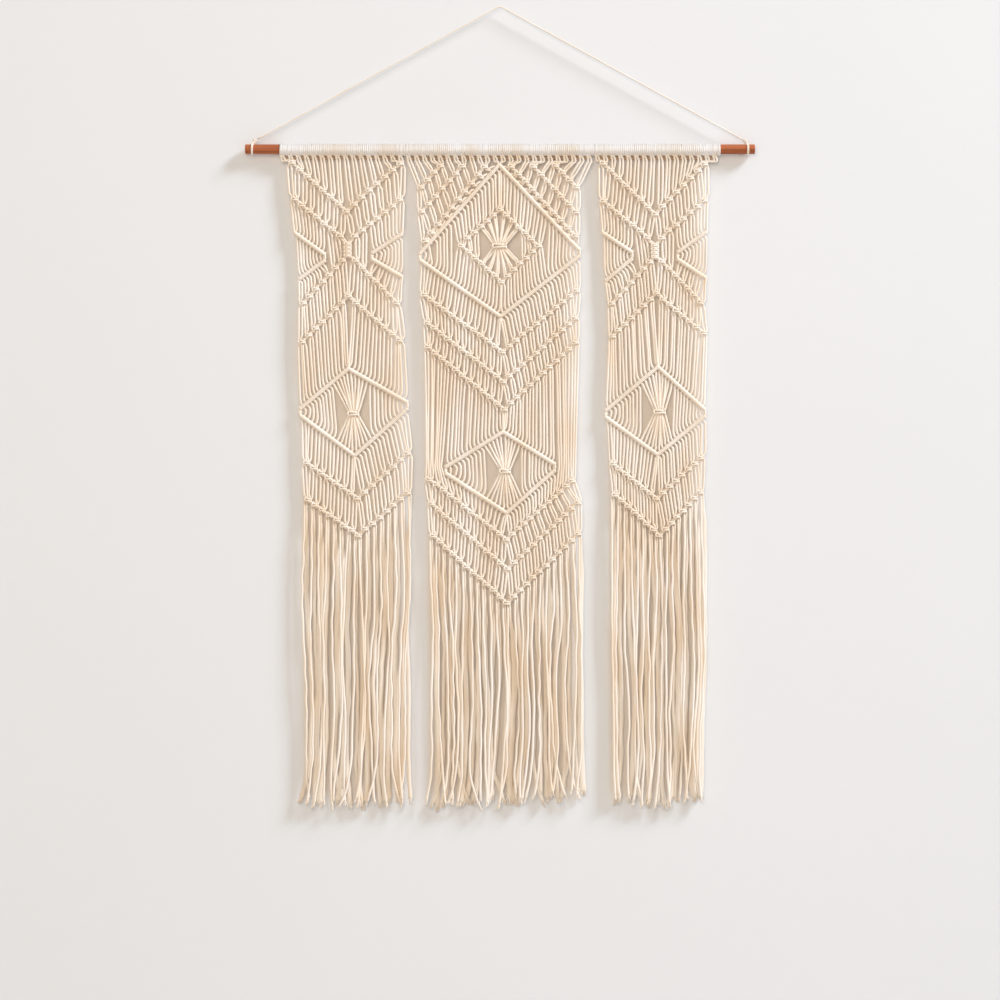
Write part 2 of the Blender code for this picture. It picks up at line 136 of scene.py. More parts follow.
PANELS = (
    Panel("left", -209.2, -96.4, 77.8, 16, LEFT_ROWS, Tips(-63.0, 82.0, 909.0, 910.0, 906.0)),
    Panel("centre", 0.0, -130.8, 130.8, 24, CENTRE_ROWS, Tips(-93.0, 114.0, 911.0, 908.0, 896.0)),
    Panel("right", 217.5, -86.1, 88.1, 16, RIGHT_ROWS, Tips(-57.0, 66.0, 902.0, 911.0, 900.0)),
)

# Square knot of four cords, seen from the front, half of its height each way.
# The left cord crosses the front twice; the right one passes behind and over it.
KNOT_HALF_TALL = 3.3
KNOT_FRONT_CORD = (
    (-4.1, 0.3, 3.3), (-3.6, -0.5, 2.5), (-2.2, -2.1, 1.7), (0.2, -2.8, 1.35),
    (2.3, -2.2, 1.1), (3.6, -0.8, 0.6), (3.8, -0.1, 0.0), (3.6, -0.8, -0.6),
    (2.3, -2.2, -1.1), (0.2, -2.8, -1.35), (-2.2, -2.1, -1.7), (-3.6, -0.5, -2.5),
    (-4.1, 0.3, -3.3),
)
KNOT_BACK_CORD = (
    (4.1, 0.3, 3.3), (3.8, -1.5, 2.5), (3.6, -2.3, 1.5), (3.1, 0.4, 0.7),
    (1.2, 2.1, 0.6), (-1.2, 2.1, 1.2), (-3.0, 0.6, 1.6), (-3.9, -1.8, 1.0),
    (-4.1, -2.2, 0.0), (-3.9, -1.8, -1.0), (-3.0, 0.6, -1.7), (-1.2, 2.1, -1.2),
    (1.2, 2.1, -0.7), (3.1, 0.4, -0.8), (3.7, -2.0, -1.6), (3.9, -1.3, -2.6),
    (4.1, 0.3, -3.3),
)
KNOT_FILLERS = 1.25  # from a knot's middle to each of the two cords inside it
KNOT_SCALE = (1.12, 1.0, 1.0)
KNOT_LEAN = 0.16  # share of its row's slope by which a knot leans against it
KNOT_TURN, KNOT_SIZE, KNOT_SHIFT = 0.06, 0.04, 0.35  # how uneven turn, size and place are

SINNET_KNOTS, SINNET_STEP = 4, 5.4
SINNET_SCALE, SINNET_THICK = (1.15, 1.1, 0.85), 1.14
GATHER_TALL, GATHER_DEEP = 4.4, 0.9  # of the cords in it, which lie in two layers
GATHER_SCALE, GATHER_THICK = (2.7, 1.35, 1.25), 1.12  # first: half width of the template
GATHER_OPEN, GATHER_SHUT, GATHER_CORDS = 1.15, 0.9, 0.95  # width outside and inside, thickness

BAR_RADIUS = 1.95  # from a bar's leading cord to the middle of the cords hitched round it
BAR_CORE, CORE_STEPS = 0.85, 13  # thickness of the leading cord against a free one
BAR_OVER, BAR_UNDER = (1.6, 0.9), (1.2, 0.7)  # how far over and under its hitch, and how far
# to the back, a cord joins it
HITCH_STEPS = 6  # samples in one turn
HITCH_THICK = 0.75  # the most of a turn's width that the cord's radius takes
HITCH_WIDTH = 1.9  # of one turn along the bar
HITCH_LEAD = math.radians(20.0)  # past the top of the bar where a cord joins it
BAR_ENTRY = 1.7, 4.0  # how far beside its hitch a cord's even place lies above a bar of
# slope 1: the first where it comes from a knot, the second from another bar
BAR_STEEP = 0.8  # the most slope that counts there
BAR_ARCH = 2.2  # the same below a rising bar

# The end of a run bends over a length: HOOK at a knot and FAN_HOOK at a gather knot or a
# sinnet. Below and above a hitch it is the second number of LEAVE_BAR and ENTER_BAR, whose
# first says how strongly the hitch turns the run square to its bar, or HOOK and FAN_PULL
# where the run's other end is at a gather knot or a sinnet.
HOOK, FAN_HOOK, FAN_PULL = 8.0, 2.0, 0.9
LEAVE_BAR, ENTER_BAR = (2.2, 13.0), (1.0, 6.0)
EVEN_REACH, ENTRY_REACH = 5.0, (8.0, 13.0)  # over which a run comes to its even place, and
# above a bar: the first where it comes from a knot, the second from another bar
EVEN_FROM, ENTRY_FROM = (9.0, 12.0), (5.0, 8.0)  # length from which a run begins to, and over
# which it comes to keep to its even place, the second above a bar
TO_KNOT = 1.6  # how far the even places lie towards the knot that a cord comes from
SAME_ROW = 9.0  # a run with less drop than this leads on to the next knot of its row
RUN_ENDS = (0.0, 1.3, 2.8, 4.5, 6.5, 9.0)  # samples at both ends of a run
RUN_STEP, SHORT_STEP = 8.0, 2.2  # and between them, and all along a short run
WANDER_RUN = 70.0  # length of a run that strays by all of its wander
WANDER_BACK, WANDER_WAVE = 0.8, 0.6  # share of that backwards, and of its second sine
ROOT_ACROSS, ROOT_TOP = (-2.8, 1.5), (1.5, 4.5)  # of a pair's cords, under and at the rod

FRINGE_STEP = 5.0
FRINGE_SWELL, SWELL_LENGTH = 1.05, 50.0  # thickness against a free cord, and where it is reached
RIBBON = 1.4, 2.8  # the back cords have opened and lie flat, so many times wider than deep
UNTWISTED = 1e6  # pitch of a cord that has lost its twist
TUFT, TUFT_SPREAD = 12.0, 1.3  # length of the open end, and its thickness against the cord's
SWAY_WAVES = ((0.4, 1.0), 1.0), ((1.3, 2.6), 0.4)  # waves down the fringe and share of sway
OWN_SWAY = 0.75  # a cord's own sway against its bunch's
KINK, KINK_WAVES = 0.32, (30.0, 80.0, 3)  # bends that the knots left: size, lengths, number
BUNCH = 3.2  # cords that sway together
CURL, CURL_ASIDE = 75.0, 7.5  # length over which a cord turns aside at its foot, and how far
ASIDE = 1.5  # how far a cord hangs beside its even place
LAYER, LAYER_UNEVEN, LAYER_SWAY = 0.8, 0.3, 0.2  # shares of the fringe's depth
WISP_TAPER = np.array([0.5, 0.5, 0.42, 0.34, 0.14])  # thickness against the cord's
WISP_LEAN, WISP_CURL, WISP_BASE, WISP_LENGTH = 0.16, 0.6, 0.5, (6.0, 10.0)
WISP_SUNK = 3.5  # how far up inside the cord a wisp starts

HANGER_ACROSS, HANGER_FOOT = 340.5, -185.0  # where the hanger meets its knots
HANGER_START_GAP, HANGER_BEND = 3.6, 6.0
HANGER_SIDES, HANGER_PITCH = 10, 5.0
TIE_ACROSS, TIE_TURNS, TIE_KNOT_SIZE = 344.5, 2.0, 0.82
ROD_SIDES, ROD_EASE, ROD_UV = 48, 0.8, 20.0
ROD_CLEAR = 0.05  # between the rod and the cords wound on it

WRAPS_IN_KNOT, WRAP_RADIUS, WRAP_STEPS, WRAP_TWISTS = 4, 1.8, 24, 5.0
WRAP_TOP, WRAP_FOOT = 0.6, 1.5  # half the thickness of a wrap over and under the rod
WRAP_SHIFT, WRAP_LEAN, WRAP_SIZE = 0.1, 0.14, (0.94, 1.05)  # how uneven the wraps are
WRAP_SLANT = 0.2  # by which the first and last wraps of a knot lean together
# A brown cord behind the wraps, put there as painted shade that shows as dark dots between the
# cords under the rod: how far down and back it lies, and its radius.
SHADE_CORD_DOWN, SHADE_CORD_BACK, SHADE_CORD_RADIUS = 11.8, 2.8, 2.0

# The cotton's finishes: tint of the cord's colour, and number of fibre lines round it.
COTTONS = {
    "natural_cotton": ((1.0, 1.0, 1.0), 16),
    "bleached_cotton": ((0.89, 0.945, 1.04), 16),  # the wraps, paler as painted light from above
    "brown_cotton": ((0.60, 0.45, 0.325), 16),  # a cord behind the wraps, brown as painted shade between the cords under them
    "loose_cotton": ((0.90, 0.905, 0.90), 16),  # the fringe's back cords, darker as painted shade
    "hanger_cotton": ((0.93, 0.95, 0.97), 8),  # a thinner, tighter cord
}
WRAP_TOP_SHADE = (0.78, 0.78, 0.78, 1.0)  # painted shade on the wraps, on top of the rod
TWIST_STRANDS = 3

SHADOW_AND_BOUNCE_EDGE = 5 * MM
SHADOW_AND_BOUNCE = (0.94, 0.86, 0.775)  # painted shadow of the panels on the backdrop, warm as painted bounce light: the wall's colour behind the panels against that beside them
FLOOR_TINT = (0.68, 0.64, 0.59)
WALL_HALF, WALL_TOP, FLOOR_HALF, FLOOR_LEVEL = 1.25, 0.8, 4.0, -1.6
LIGHTS_AIM = (0.0, 0.0, -0.65)
LIGHTS = {  # place, size, power and colour
    "window": ((5.6, -2.7, 4.6), 2.0, 625.0, (0.80, 0.885, 1.0)),
    "front_fill": ((-0.6, -4.6, 0.4), 2.4, 85.0, (1.0, 0.85, 0.67)),
    "back_fill": ((-4.0, 2.6, 0.6), 2.4, 62.0, (1.0, 0.94, 0.86)),
}
ROOM_LIGHT, ROOM_POWER = (1.0, 0.975, 0.935, 1.0), 0.37

# Stretches of a cord go to one of these parts of a panel's web.
CORDS, KNOTS, BARS = range(3)
Stretch = namedtuple("Stretch", "points radii part")
Bar = namedtuple("Bar", "leader first last start end")

# What a cord does at one place: a "knot", a "hitch" on a bar, a bar's "leader", or "fan"
# for the cords of a gather knot or sinnet. Runs keep to even places among their neighbours:
# `above` is the one over it, first where the run comes from a knot and then where from a
# bar, and `below` the one under it. Leaders and fans have none.
Event = namedtuple("Event", "down kind stretch above below", defaults=(None, None))


def length(name, description, millimetres, precision=5):
    """A property that holds a length, with its default in millimetres."""
    return bpy.props.FloatProperty(
        name=name, description=description, default=millimetres * MM, unit="LENGTH",
        precision=precision,
    )


def paint(name, description, default):
    """A property that holds a colour."""
    return bpy.props.FloatVectorProperty(
        name=name, description=description, default=default, subtype="COLOR", size=3,
        min=0.0, max=1.0,
    )


def number(name, description, default, least):
    """A property that holds a count."""
    return bpy.props.IntProperty(name=name, description=description, default=default, min=least)


class CordSettings(bpy.types.PropertyGroup):
    """The knotting cord and how it lies."""

    radius: length("Cord radius", "Half the thickness of a free cord", 1.6)
    knot_radius: length("Knotted radius", "Half the thickness of a cord in a knot", 1.3)
    wander: length("Wander", "How far a free run strays from a straight line", 0.5)
    sides: number("Sides", "Sides of a cord's tube", 7, 3)
    twist_pitch: length("Twist pitch", "Length of one turn of the cord's twist", 9.0)
    colour: paint("Cotton colour", "Colour of the undyed cotton", (0.95, 0.845, 0.735))


class FringeSettings(bpy.types.PropertyGroup):
    """The cords that hang free below the last row."""

    sway: length("Sway", "How far the cords stray sideways", 2.4)
    depth: length("Depth", "How far some cords lie before and behind the others", 3.4)
    uneven: length("Uneven ends", "How much the cut ends differ in length", 8.0)
    wisps: number("Wisps", "Loose fibres at each cut end", 6, 0)


class RodSettings(bpy.types.PropertyGroup):
    """The wooden rod and its hanger cord."""

    light_grain: paint("Light grain", "Lighter colour of the stained wood", (0.52, 0.15, 0.05))
    dark_grain: paint("Dark grain", "Darker colour of the stained wood", (0.30, 0.075, 0.024))
    hanger_radius: length("Hanger radius", "Half the thickness of the hanger cord", 1.0)


class StageSettings(bpy.types.PropertyGroup):
    """Floor, backdrop, lights and camera."""

    wall_gap: length("Wall place", "Distance of the backdrop behind the rod's axis", 10.5)
    wall_colour: paint("Wall colour", "Colour of the backdrop", (0.805, 0.813, 0.832))
    camera_distance: length("Camera distance", "From the lens to the rod", 3500.0, 2)
    view_width: length("View width", "Width that the picture shows at the rod", 1390.0, 2)
    view_middle: length(
        "View middle", "Height of the picture's middle under the hanging point", -684.6, 4
    )


SETTINGS = {
    "macrame_cord": CordSettings,
    "macrame_fringe": FringeSettings,
    "macrame_rod": RodSettings,
    "macrame_stage": StageSettings,
}


# ---------------------------------------------------------------- curves

def ramp(value):
    """The value, held between 0 and 1."""
    return np.clip(value, 0.0, 1.0)


def unit(vectors):
    """The vectors at a length of 1."""
    return vectors / np.maximum(np.linalg.norm(vectors, axis=-1, keepdims=True), 1e-12)


def lengths_along(path):
    """How far along the path each of its points lies."""
    return np.concatenate([[0.0], np.cumsum(np.linalg.norm(np.diff(path, axis=0), axis=1))])


def smooth_curve(marks, steps):
    """Catmull-Rom curve: each span is the cubic that passes through two marks with the
    slope of the chord between their neighbours. `steps` samples a span."""
    marks = np.asarray(marks, float)
    padded = np.vstack([2 * marks[0] - marks[1], marks, 2 * marks[-1] - marks[-2]])
    t = np.linspace(0.0, 1.0, steps, endpoint=False)[None, :, None]
    p0, p1, p2, p3 = (padded[k : len(padded) - 3 + k, None, :] for k in range(4))
    curve = 0.5 * (
        2 * p1 + (p2 - p0) * t + (2 * p0 - 5 * p1 + 4 * p2 - p3) * t**2
        + (3 * p1 - p0 - 3 * p2 + p3) * t**3
    )
    return np.vstack([curve.reshape(-1, marks.shape[1]), marks[-1:]])


def run_shares(run):
    """Places along a run as shares of its length: close together at both ends, where it
    hooks, and RUN_STEP apart between them."""
    ends = np.array(RUN_ENDS)
    if run < 2.4 * ends[-1]:
        return np.linspace(0.0, 1.0, max(4, int(run / SHORT_STEP) + 1))
    middle = np.linspace(ends[-1], run - ends[-1], int((run - 2 * ends[-1]) / RUN_STEP) + 2)
    return np.concatenate([ends[:-1], middle, run - ends[-2::-1]]) / run


def hooked_run(start, start_way, end, end_way, hooks):
    """A straight run from start to end that bends at both ends: (end - start)t, plus the
    ways' shares t(1 - t)² and -t²(1 - t) of a Hermite curve, each squeezed to its length
    in `hooks`."""
    run = np.linalg.norm(end - start)
    t = run_shares(run)[:, None]
    way = (end - start) / run
    out, into = np.minimum(hooks, 0.6 * run)
    first, last = ramp(t * run / out), ramp((1 - t) * run / into)
    bend = out * first * (1 - first) ** 2 * (start_way - way)
    bend -= into * last * (1 - last) ** 2 * (end_way - way)
    return start + (end - start) * t + bend


def mirrored(vectors, normal, least):
    """Vectors mirrored in the plane square to the normal."""
    square = np.maximum((normal**2).sum(1, keepdims=True), least)
    return vectors - 2 * (normal * vectors).sum(1, keepdims=True) / square * normal


def squared_to(vectors, way):
    """What is left of vectors without their share along the way, at a length of 1."""
    return unit(vectors - (vectors * way).sum(1, keepdims=True) * way)


def frames_along(paths):
    """Two side vectors at each point of many paths at once, shape (paths, points, 3). The
    first is carried from point to point by two reflections, in the plane between the
    points and in that between the tangents, so it never twists."""
    ways = unit(np.diff(paths, axis=1))
    tangents = unit(np.concatenate([ways[:, :1], ways[:, 1:] + ways[:, :-1], ways[:, -1:]], axis=1))
    sides = np.empty_like(tangents)
    guess = np.where(np.abs(tangents[:, 0, 1:2]) > 0.9, [[1.0, 0.0, 0.0]], [[0.0, 1.0, 0.0]])
    sides[:, 0] = squared_to(guess, tangents[:, 0])
    for k in range(paths.shape[1] - 1):
        chord = paths[:, k + 1] - paths[:, k]
        side, way = (mirrored(vectors[:, k], chord, 1e-18) for vectors in (sides, tangents))
        side = mirrored(side, tangents[:, k + 1] - way, 1e-12)
        sides[:, k + 1] = squared_to(side, tangents[:, k + 1])
    return sides, np.cross(tangents, sides)


def ring_points(centres, side, other, radii, sides):
    """Points round each centre: the radius times cosine and sine along the two side vectors."""
    angle = (math.tau * np.arange(sides) / sides)[:, None]
    spread = np.cos(angle) * side[..., None, :] + np.sin(angle) * other[..., None, :]
    return centres[..., None, :] + radii[..., None, None] * spread


# ---------------------------------------------------------------- meshes

def corners(grid):
    """The four corners of each cell of a grid, in order round the cell."""
    return np.stack([grid[:-1, :-1], grid[:-1, 1:], grid[1:, 1:], grid[1:, :-1]], axis=2)


class Mesher:
    """Collects points, faces and the cord's own UV of one piece."""

    def __init__(self):
        self.points, self.quads, self.caps, self.uvs, self.count = [], [], [], [], 0

    def tube(self, rings, along, around=1.0):
        """A tube from rings, shape (steps, sides, 3). U goes `around` times round it and V
        is `along`. It has caps, or closes on its first ring where `along` goes on to it."""
        steps, sides = rings.shape[:2]
        index = self.count + np.arange(steps * sides).reshape(steps, sides)
        if len(along) > steps:
            index = np.vstack([index, index[:1]])
        else:
            self.caps += [index[0, ::-1].tolist(), index[-1].tolist()]
        u, v = np.broadcast_arrays(np.arange(sides + 1) / sides * around, along[:, None])
        self.points.append(rings.reshape(-1, 3))
        self.quads.append(corners(np.hstack([index, index[:, :1]])).reshape(-1, 4))
        self.uvs.append(corners(np.stack([u, v], axis=-1)).reshape(-1, 2))
        self.count += steps * sides

    def sweep(self, path, radii, sides, along, around=1.0):
        """A cord's tube along a path, closed if the path is."""
        side, other = frames_along(path[None])
        radii = np.broadcast_to(radii, len(path))
        rings = ring_points(path, side[0], other[0], radii, sides)
        closed = np.array_equal(path[0], path[-1])
        self.tube(rings[:-1] if closed else rings, along, around)

    def piece(self, name, material, at=(0.0, 0.0, 0.0), slot="cotton"):
        """The finished object, riding on the frame's body."""
        quads, uvs = np.concatenate(self.quads), np.concatenate(self.uvs)
        mesh = bpy.data.meshes.new(name)
        points = (np.concatenate(self.points) + at) * MM
        mesh.from_pydata(points.tolist(), [], quads.tolist() + self.caps)
        smooth = np.arange(len(mesh.polygons)) < len(quads)
        mesh.polygons.foreach_set("use_smooth", smooth)
        whole = np.zeros((len(mesh.loops), 2), np.float32)
        whole[: len(uvs)] = uvs
        mesh.uv_layers.new(name="cord").data.foreach_set("uv", whole.ravel())
        mesh.materials.append(material)
        mesh.update()
        thing = bpy.data.objects.new(name, mesh)
        bpy.context.scene.collection.objects.link(thing)
        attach(thing, BODY)
        return thing


def lay_cords(cords, meshers, sides, pitch, widths=None):
    """Sweep every cord, a list of stretches, and hand each stretch's tube to its part.
    `widths` says how many times wider than deep each cord is at each point."""
    joined, radii, parts = [], [], []
    for first, *others in cords:
        joined.append(np.concatenate([first.points] + [s.points[1:] for s in others]))
        radii.append(np.concatenate([first.radii] + [s.radii[1:] for s in others]))
        parts.append(np.repeat([s.part for s in (first, *others)],
                               [len(s.points) - 1 for s in (first, *others)]))
    longest = max(map(len, joined))
    paths = np.empty((len(cords), longest, 3))
    for path, points in zip(paths, joined):
        spare = np.arange(1, longest - len(points) + 1)[:, None]
        path[: len(points)] = points
        path[len(points) :] = points[-1] + spare * (points[-1] - points[-2]) * 0.01
    side, other = frames_along(paths)
    for k, points in enumerate(joined):
        count = len(points)
        wide = other[k, :count] * (widths[k][:, None] if widths else 1.0)
        rings = ring_points(points, side[k, :count], wide, radii[k], sides)
        along = lengths_along(points) / pitch
        changes = np.flatnonzero(np.diff(parts[k])) + 1
        for start, end in zip([0, *changes], [*changes, count - 1]):
            meshers[parts[k][start]].tube(rings[start : end + 1], along[start : end + 1])


def seeded(*words):
    """A random source that depends only on these words."""
    seeds = [sum(ord(letter) * (k + 1) for k, letter in enumerate(str(word))) for word in words]
    return np.random.default_rng(seeds)


# ---------------------------------------------------------------- rows

def on_row(row, pair):
    """Across, down and slope of a row where a pair crosses it; pair may be a fraction."""
    marks = [(row.first, row.left), (row.last, row.right)]
    if row.turn:
        marks.insert(1, ((row.first + row.last) / 2, row.turn))
    (a, start), (b, end) = marks[:2] if pair <= marks[1][0] else marks[-2:]
    share = (pair - a) / (b - a)
    across = start[0] + share * (end[0] - start[0])
    down = start[1] + share * (end[1] - start[1])
    return across, down, (end[1] - start[1]) / (end[0] - start[0])


def place(points, centre, turn=0.0, scale=(1.0, 1.0, 1.0)):
    """Template points scaled, turned in the web's plane and moved to (across, down)."""
    x, y, z = (np.asarray(points, float) * scale).T
    cos, sin = math.cos(turn), math.sin(turn)
    return np.stack([centre[0] + cos * x - sin * z, y, -centre[1] + sin * x + cos * z], axis=1)


def even_stretch(points, radius, part=CORDS):
    """A stretch of one thickness."""
    return Stretch(points, np.full(len(points), radius), part)


def knot_stretch(position, centre, turn, scale, radius):
    """The stretch of one of a square knot's four cords, 0 the left one and 3 the right one."""
    if position in (0, 3):
        marks, part = KNOT_BACK_CORD if position else KNOT_FRONT_CORD, KNOTS
    else:
        side, part = -KNOT_FILLERS if position == 1 else KNOT_FILLERS, CORDS
        marks = [(1.2 * side, 0.2, KNOT_HALF_TALL), (side, 0.0, 0.0),
                 (1.2 * side, 0.2, -KNOT_HALF_TALL)]
    return even_stretch(place(smooth_curve(marks, 2), centre, turn, scale), radius, part)


def seat_in(row, cord, pairs):
    """A cord's number in a row, or None where it is away from the row."""
    if not row.parted:
        return cord
    if cord in (pairs - 1, pairs):
        return None
    return cord + 1 if cord < pairs else cord - 1


def knot_events(panel, row, cord, radius, tight):
    """A cord's way through the square knots of a row: each pair is tied to both neighbours."""
    pair, half = divmod(cord, 2)
    events = []
    for knot in (pair - 1, pair):
        if not row.first <= knot < row.last or knot == row.skip:
            continue
        across, down, slope = on_row(row, knot + 0.5)
        rng = seeded(panel.name, row.name, knot)
        turn = -KNOT_LEAN * math.atan(slope) + rng.normal(0.0, KNOT_TURN)
        scale = rng.normal(1.0, KNOT_SIZE) * np.array(KNOT_SCALE)
        centre = (across, down) + rng.normal(0.0, KNOT_SHIFT, 2)
        position = half if knot == pair else 2 + half
        home = on_row(row, cord / 2 - 0.25)[0] + (TO_KNOT if knot == pair else -TO_KNOT)
        stretch = knot_stretch(position, centre, turn, scale, tight)
        events.append(Event(centre[1], "knot", stretch, (home, home), home))
    return events


def sinnet_events(panel, row, cord, radius, tight):
    """Square knots tied one under the other with two pairs."""
    position = cord - 2 * row.first
    if not 0 <= position < 4:
        return []
    across = (row.left[0] + row.right[0]) / 2
    events = []
    for k in range(SINNET_KNOTS):
        down = row.left[1] + (k - (SINNET_KNOTS - 1) / 2) * SINNET_STEP
        thick = SINNET_THICK * tight
        stretch = knot_stretch(position, (across, down), 0.0, SINNET_SCALE, thick)
        events.append(Event(down, "fan", stretch))
    return events


def gather_events(panel, row, cord, radius, tight):
    """One large square knot round many cords, which lie inside it in two layers and spread
    a little above and below."""
    first, last = int(2 * row.first), int(2 * row.last) + 1
    if not first <= cord <= last:
        return []
    centre, width = ((row.left[0] + row.right[0]) / 2, row.left[1]), row.right[0] - row.left[0]
    if cord in (first, last):
        scale = (width / 2 / GATHER_SCALE[0], *GATHER_SCALE[1:])
        position = 0 if cord == first else 3
        stretch = knot_stretch(position, centre, 0.0, scale, GATHER_THICK * tight)
        return [Event(centre[1], "fan", stretch)]
    share = (cord - first) / (last - first) - 0.5
    depth = GATHER_DEEP if cord % 2 else -GATHER_DEEP
    heights = ((GATHER_OPEN, GATHER_TALL), (GATHER_SHUT, 0.0), (GATHER_OPEN, -GATHER_TALL))
    marks = [(spread * share * width, depth, height) for spread, height in heights]
    stretch = even_stretch(place(smooth_curve(marks, 3), centre), GATHER_CORDS * tight)
    return [Event(centre[1], "fan", stretch)]


def bars_of(row):
    """The straight bars of a row: its leading cord, the cords hitched on it from left to
    right, and its ends in the order in which the leader runs. A row with a turn has two
    bars, whose leaders are the middle cords, and which run outwards over a diamond and
    inwards under it. A row without a turn is led by the web's edge cord, inwards and back."""
    first, last = 2 * row.first, 2 * row.last + 1
    if row.turn:
        middle = (first + last) // 2
        bars = [(middle, first, middle - 1, row.turn, row.left),
                (middle + 1, middle + 2, last, row.turn, row.right)]
    elif first == 0:
        bars = [(first, first + 1, last, row.right, row.left)]
    else:
        bars = [(last, first, last - 1, row.left, row.right)]
    outward = row.name.endswith("top") == bool(row.turn)
    return [Bar(*cords, *((inner, outer) if outward else (outer, inner)))
            for *cords, inner, outer in bars]


def bar_events(panel, row, cord, radius, tight):
    """A cord's part in a row's bars: along one as its leader, or hitched round it.

    A hitch is a helix about the bar: with the angle t from above, round by the back, the
    cord lies at radius R, R cos t towards the upper side and R sin t backwards. Its turns
    fill the space between it and its neighbour, so that they lie side by side, and those
    of a rising bar mirror those of a falling one."""
    for bar in bars_of(row):
        start, end = np.array(bar.start), np.array(bar.end)
        if cord == bar.leader:
            flat = start + np.linspace(0.0, 1.0, CORE_STEPS)[:, None] * (end - start)
            points = np.stack([flat[:, 0], np.zeros(len(flat)), -flat[:, 1]], axis=1)
            stretch = even_stretch(points, BAR_CORE * radius, BARS)
            return [Event((start[1] + end[1]) / 2, "leader", stretch)]
        if not bar.first <= cord <= bar.last:
            continue
        left, right = (start, end) if start[0] < end[0] else (end, start)
        count = bar.last - bar.first + 1
        spacing = np.linalg.norm(right - left) / count
        middle = left + (cord - bar.first + 0.5) / count * (right - left)
        way = (right - left) / np.linalg.norm(right - left)
        along, upward = np.array([way[0], -way[1]]), np.array([way[1], way[0]])
        rising = -1.0 if upward[0] < 0 else 1.0
        turns = max(2, round(spacing / HITCH_WIDTH))
        begin, finish = HITCH_LEAD, math.tau * (turns + 0.5) - HITCH_LEAD
        t = np.linspace(begin, finish, int(HITCH_STEPS * (turns + 0.4)) + 1)
        slide = rising * spacing / turns * (t - (begin + finish) / 2) / math.tau
        up = BAR_RADIUS * np.cos(t)
        flat = np.array([middle[0], -middle[1]]) + slide[:, None] * along + up[:, None] * upward
        points = np.insert(flat, 1, BAR_RADIUS * np.sin(t), axis=1)
        (over, back_over), (under, back_under) = BAR_OVER, BAR_UNDER
        enter = np.insert(flat[0] + (BAR_RADIUS + over - up[0]) * upward, 1, back_over)
        leave = np.insert(flat[-1] - (BAR_RADIUS + under + up[-1]) * upward, 1, back_under)
        thick = min(tight, HITCH_THICK * spacing / turns)
        slope = np.clip(way[1] / way[0], -BAR_STEEP, BAR_STEEP)
        above = middle[0] + slope * np.array(BAR_ENTRY)
        below = middle[0] + (BAR_ARCH if rising < 0 else 0.0)
        stretch = even_stretch(np.vstack([enter, points, leave]), thick, BARS)
        return [Event(middle[1], "hitch", stretch, above, below)]
    return []


def free_events(panel, row, cord, radius, tight):
    """A place that a cord only passes."""
    pair = cord / 2 - 0.25
    if not row.first - 0.5 <= pair <= row.last + 0.5:
        return []
    across, down, _ = on_row(row, pair)
    points = np.array([[across, 0.0, -down + 0.5], [across, 0.0, -down - 0.5]])
    return [Event(down, "knot", even_stretch(points, radius), (across, across), across)]


TIED_AS = {
    "knots": knot_events,
    "sinnet": sinnet_events,
    "gather": gather_events,
    "bar": bar_events,
    "free": free_events,
}


def cord_events(panel, cord, radius, tight):
    """Every row that a cord takes part in, from the top down."""
    events = []
    for row in panel.rows:
        seat = seat_in(row, cord, panel.pairs)
        if seat is not None:
            events += TIED_AS[row.kind](panel, row, seat, radius, tight)
    return sorted(events, key=lambda event: event.down)


def root_stretch(panel, cord, radius):
    """Where a cord comes out from behind its wraps under the rod, leaning to the right."""
    pair, half = divmod(cord, 2)
    spacing = (panel.wrap_right - panel.wrap_left) / panel.pairs
    across = panel.wrap_left + spacing * (pair + 0.5) + ROOT_ACROSS[half]
    top = panel.wrap_left + spacing * pair + ROOT_TOP[half]
    marks = [
        (top - 0.6, -2.4, -7.4), (top, -2.6, -9.6), (0.4 * top + 0.6 * across, -1.8, -12.4),
        (across, -0.8, -16.0),
    ]
    return even_stretch(smooth_curve(marks, 3), radius)


def settled(points, homes, reach, rng, amount):
    """A free run drawn to its even place among its neighbours, the line between `homes`,
    more so the longer it is and only away from its ends, and moved by two small sines.
    Above a hitch it leaves its place in an arc as long as `reach`."""
    run = np.linalg.norm(points[-1] - points[0])
    t = np.linspace(0.0, 1.0, len(points))
    if homes:
        way = np.abs(points[:, 2] - points[0, 2])
        left = way[-1] - way
        ends = way if reach else np.minimum(way, left)
        free = ramp(ends / EVEN_REACH)
        pull = free * free * (3 - 2 * free)
        if reach:
            arc = ramp(left / reach)
            pull = np.minimum(pull, arc * (2 - arc))
        least, more = ENTRY_FROM if reach else EVEN_FROM
        pull = pull * ramp((run - least) / more)
        share = way / max(way[-1], 1e-6)
        points[:, 0] += pull * (homes[0] + share * (homes[1] - homes[0]) - points[:, 0])
    size, arch = amount * min(1.0, run / WANDER_RUN), np.sin(math.pi * t)
    for axis, part in ((0, 1.0), (1, WANDER_BACK)):
        bow, wave = rng.normal(0.0, size * part, 2)
        points[:, axis] += bow * arch + WANDER_WAVE * wave * np.sin(math.tau * t) * arch
    return points


def end_way(points, last):
    """Unit way in which a stretch ends, or starts."""
    return unit(points[-1] - points[-2] if last else points[1] - points[0])


def run_end(points, last, kind, fanned, hitch):
    """The way in which a run leaves a stretch's end, or meets its start, and the length that
    bends there. At a knot it is half that of the stretch and half straight down."""
    way = end_way(points, last)
    if kind == "hitch":
        pull, hook = (FAN_PULL, HOOK) if fanned else hitch
        return pull * way, hook
    return 0.5 * way + np.array([0.0, 0.0, -0.5]), FAN_HOOK if kind == "fan" else HOOK


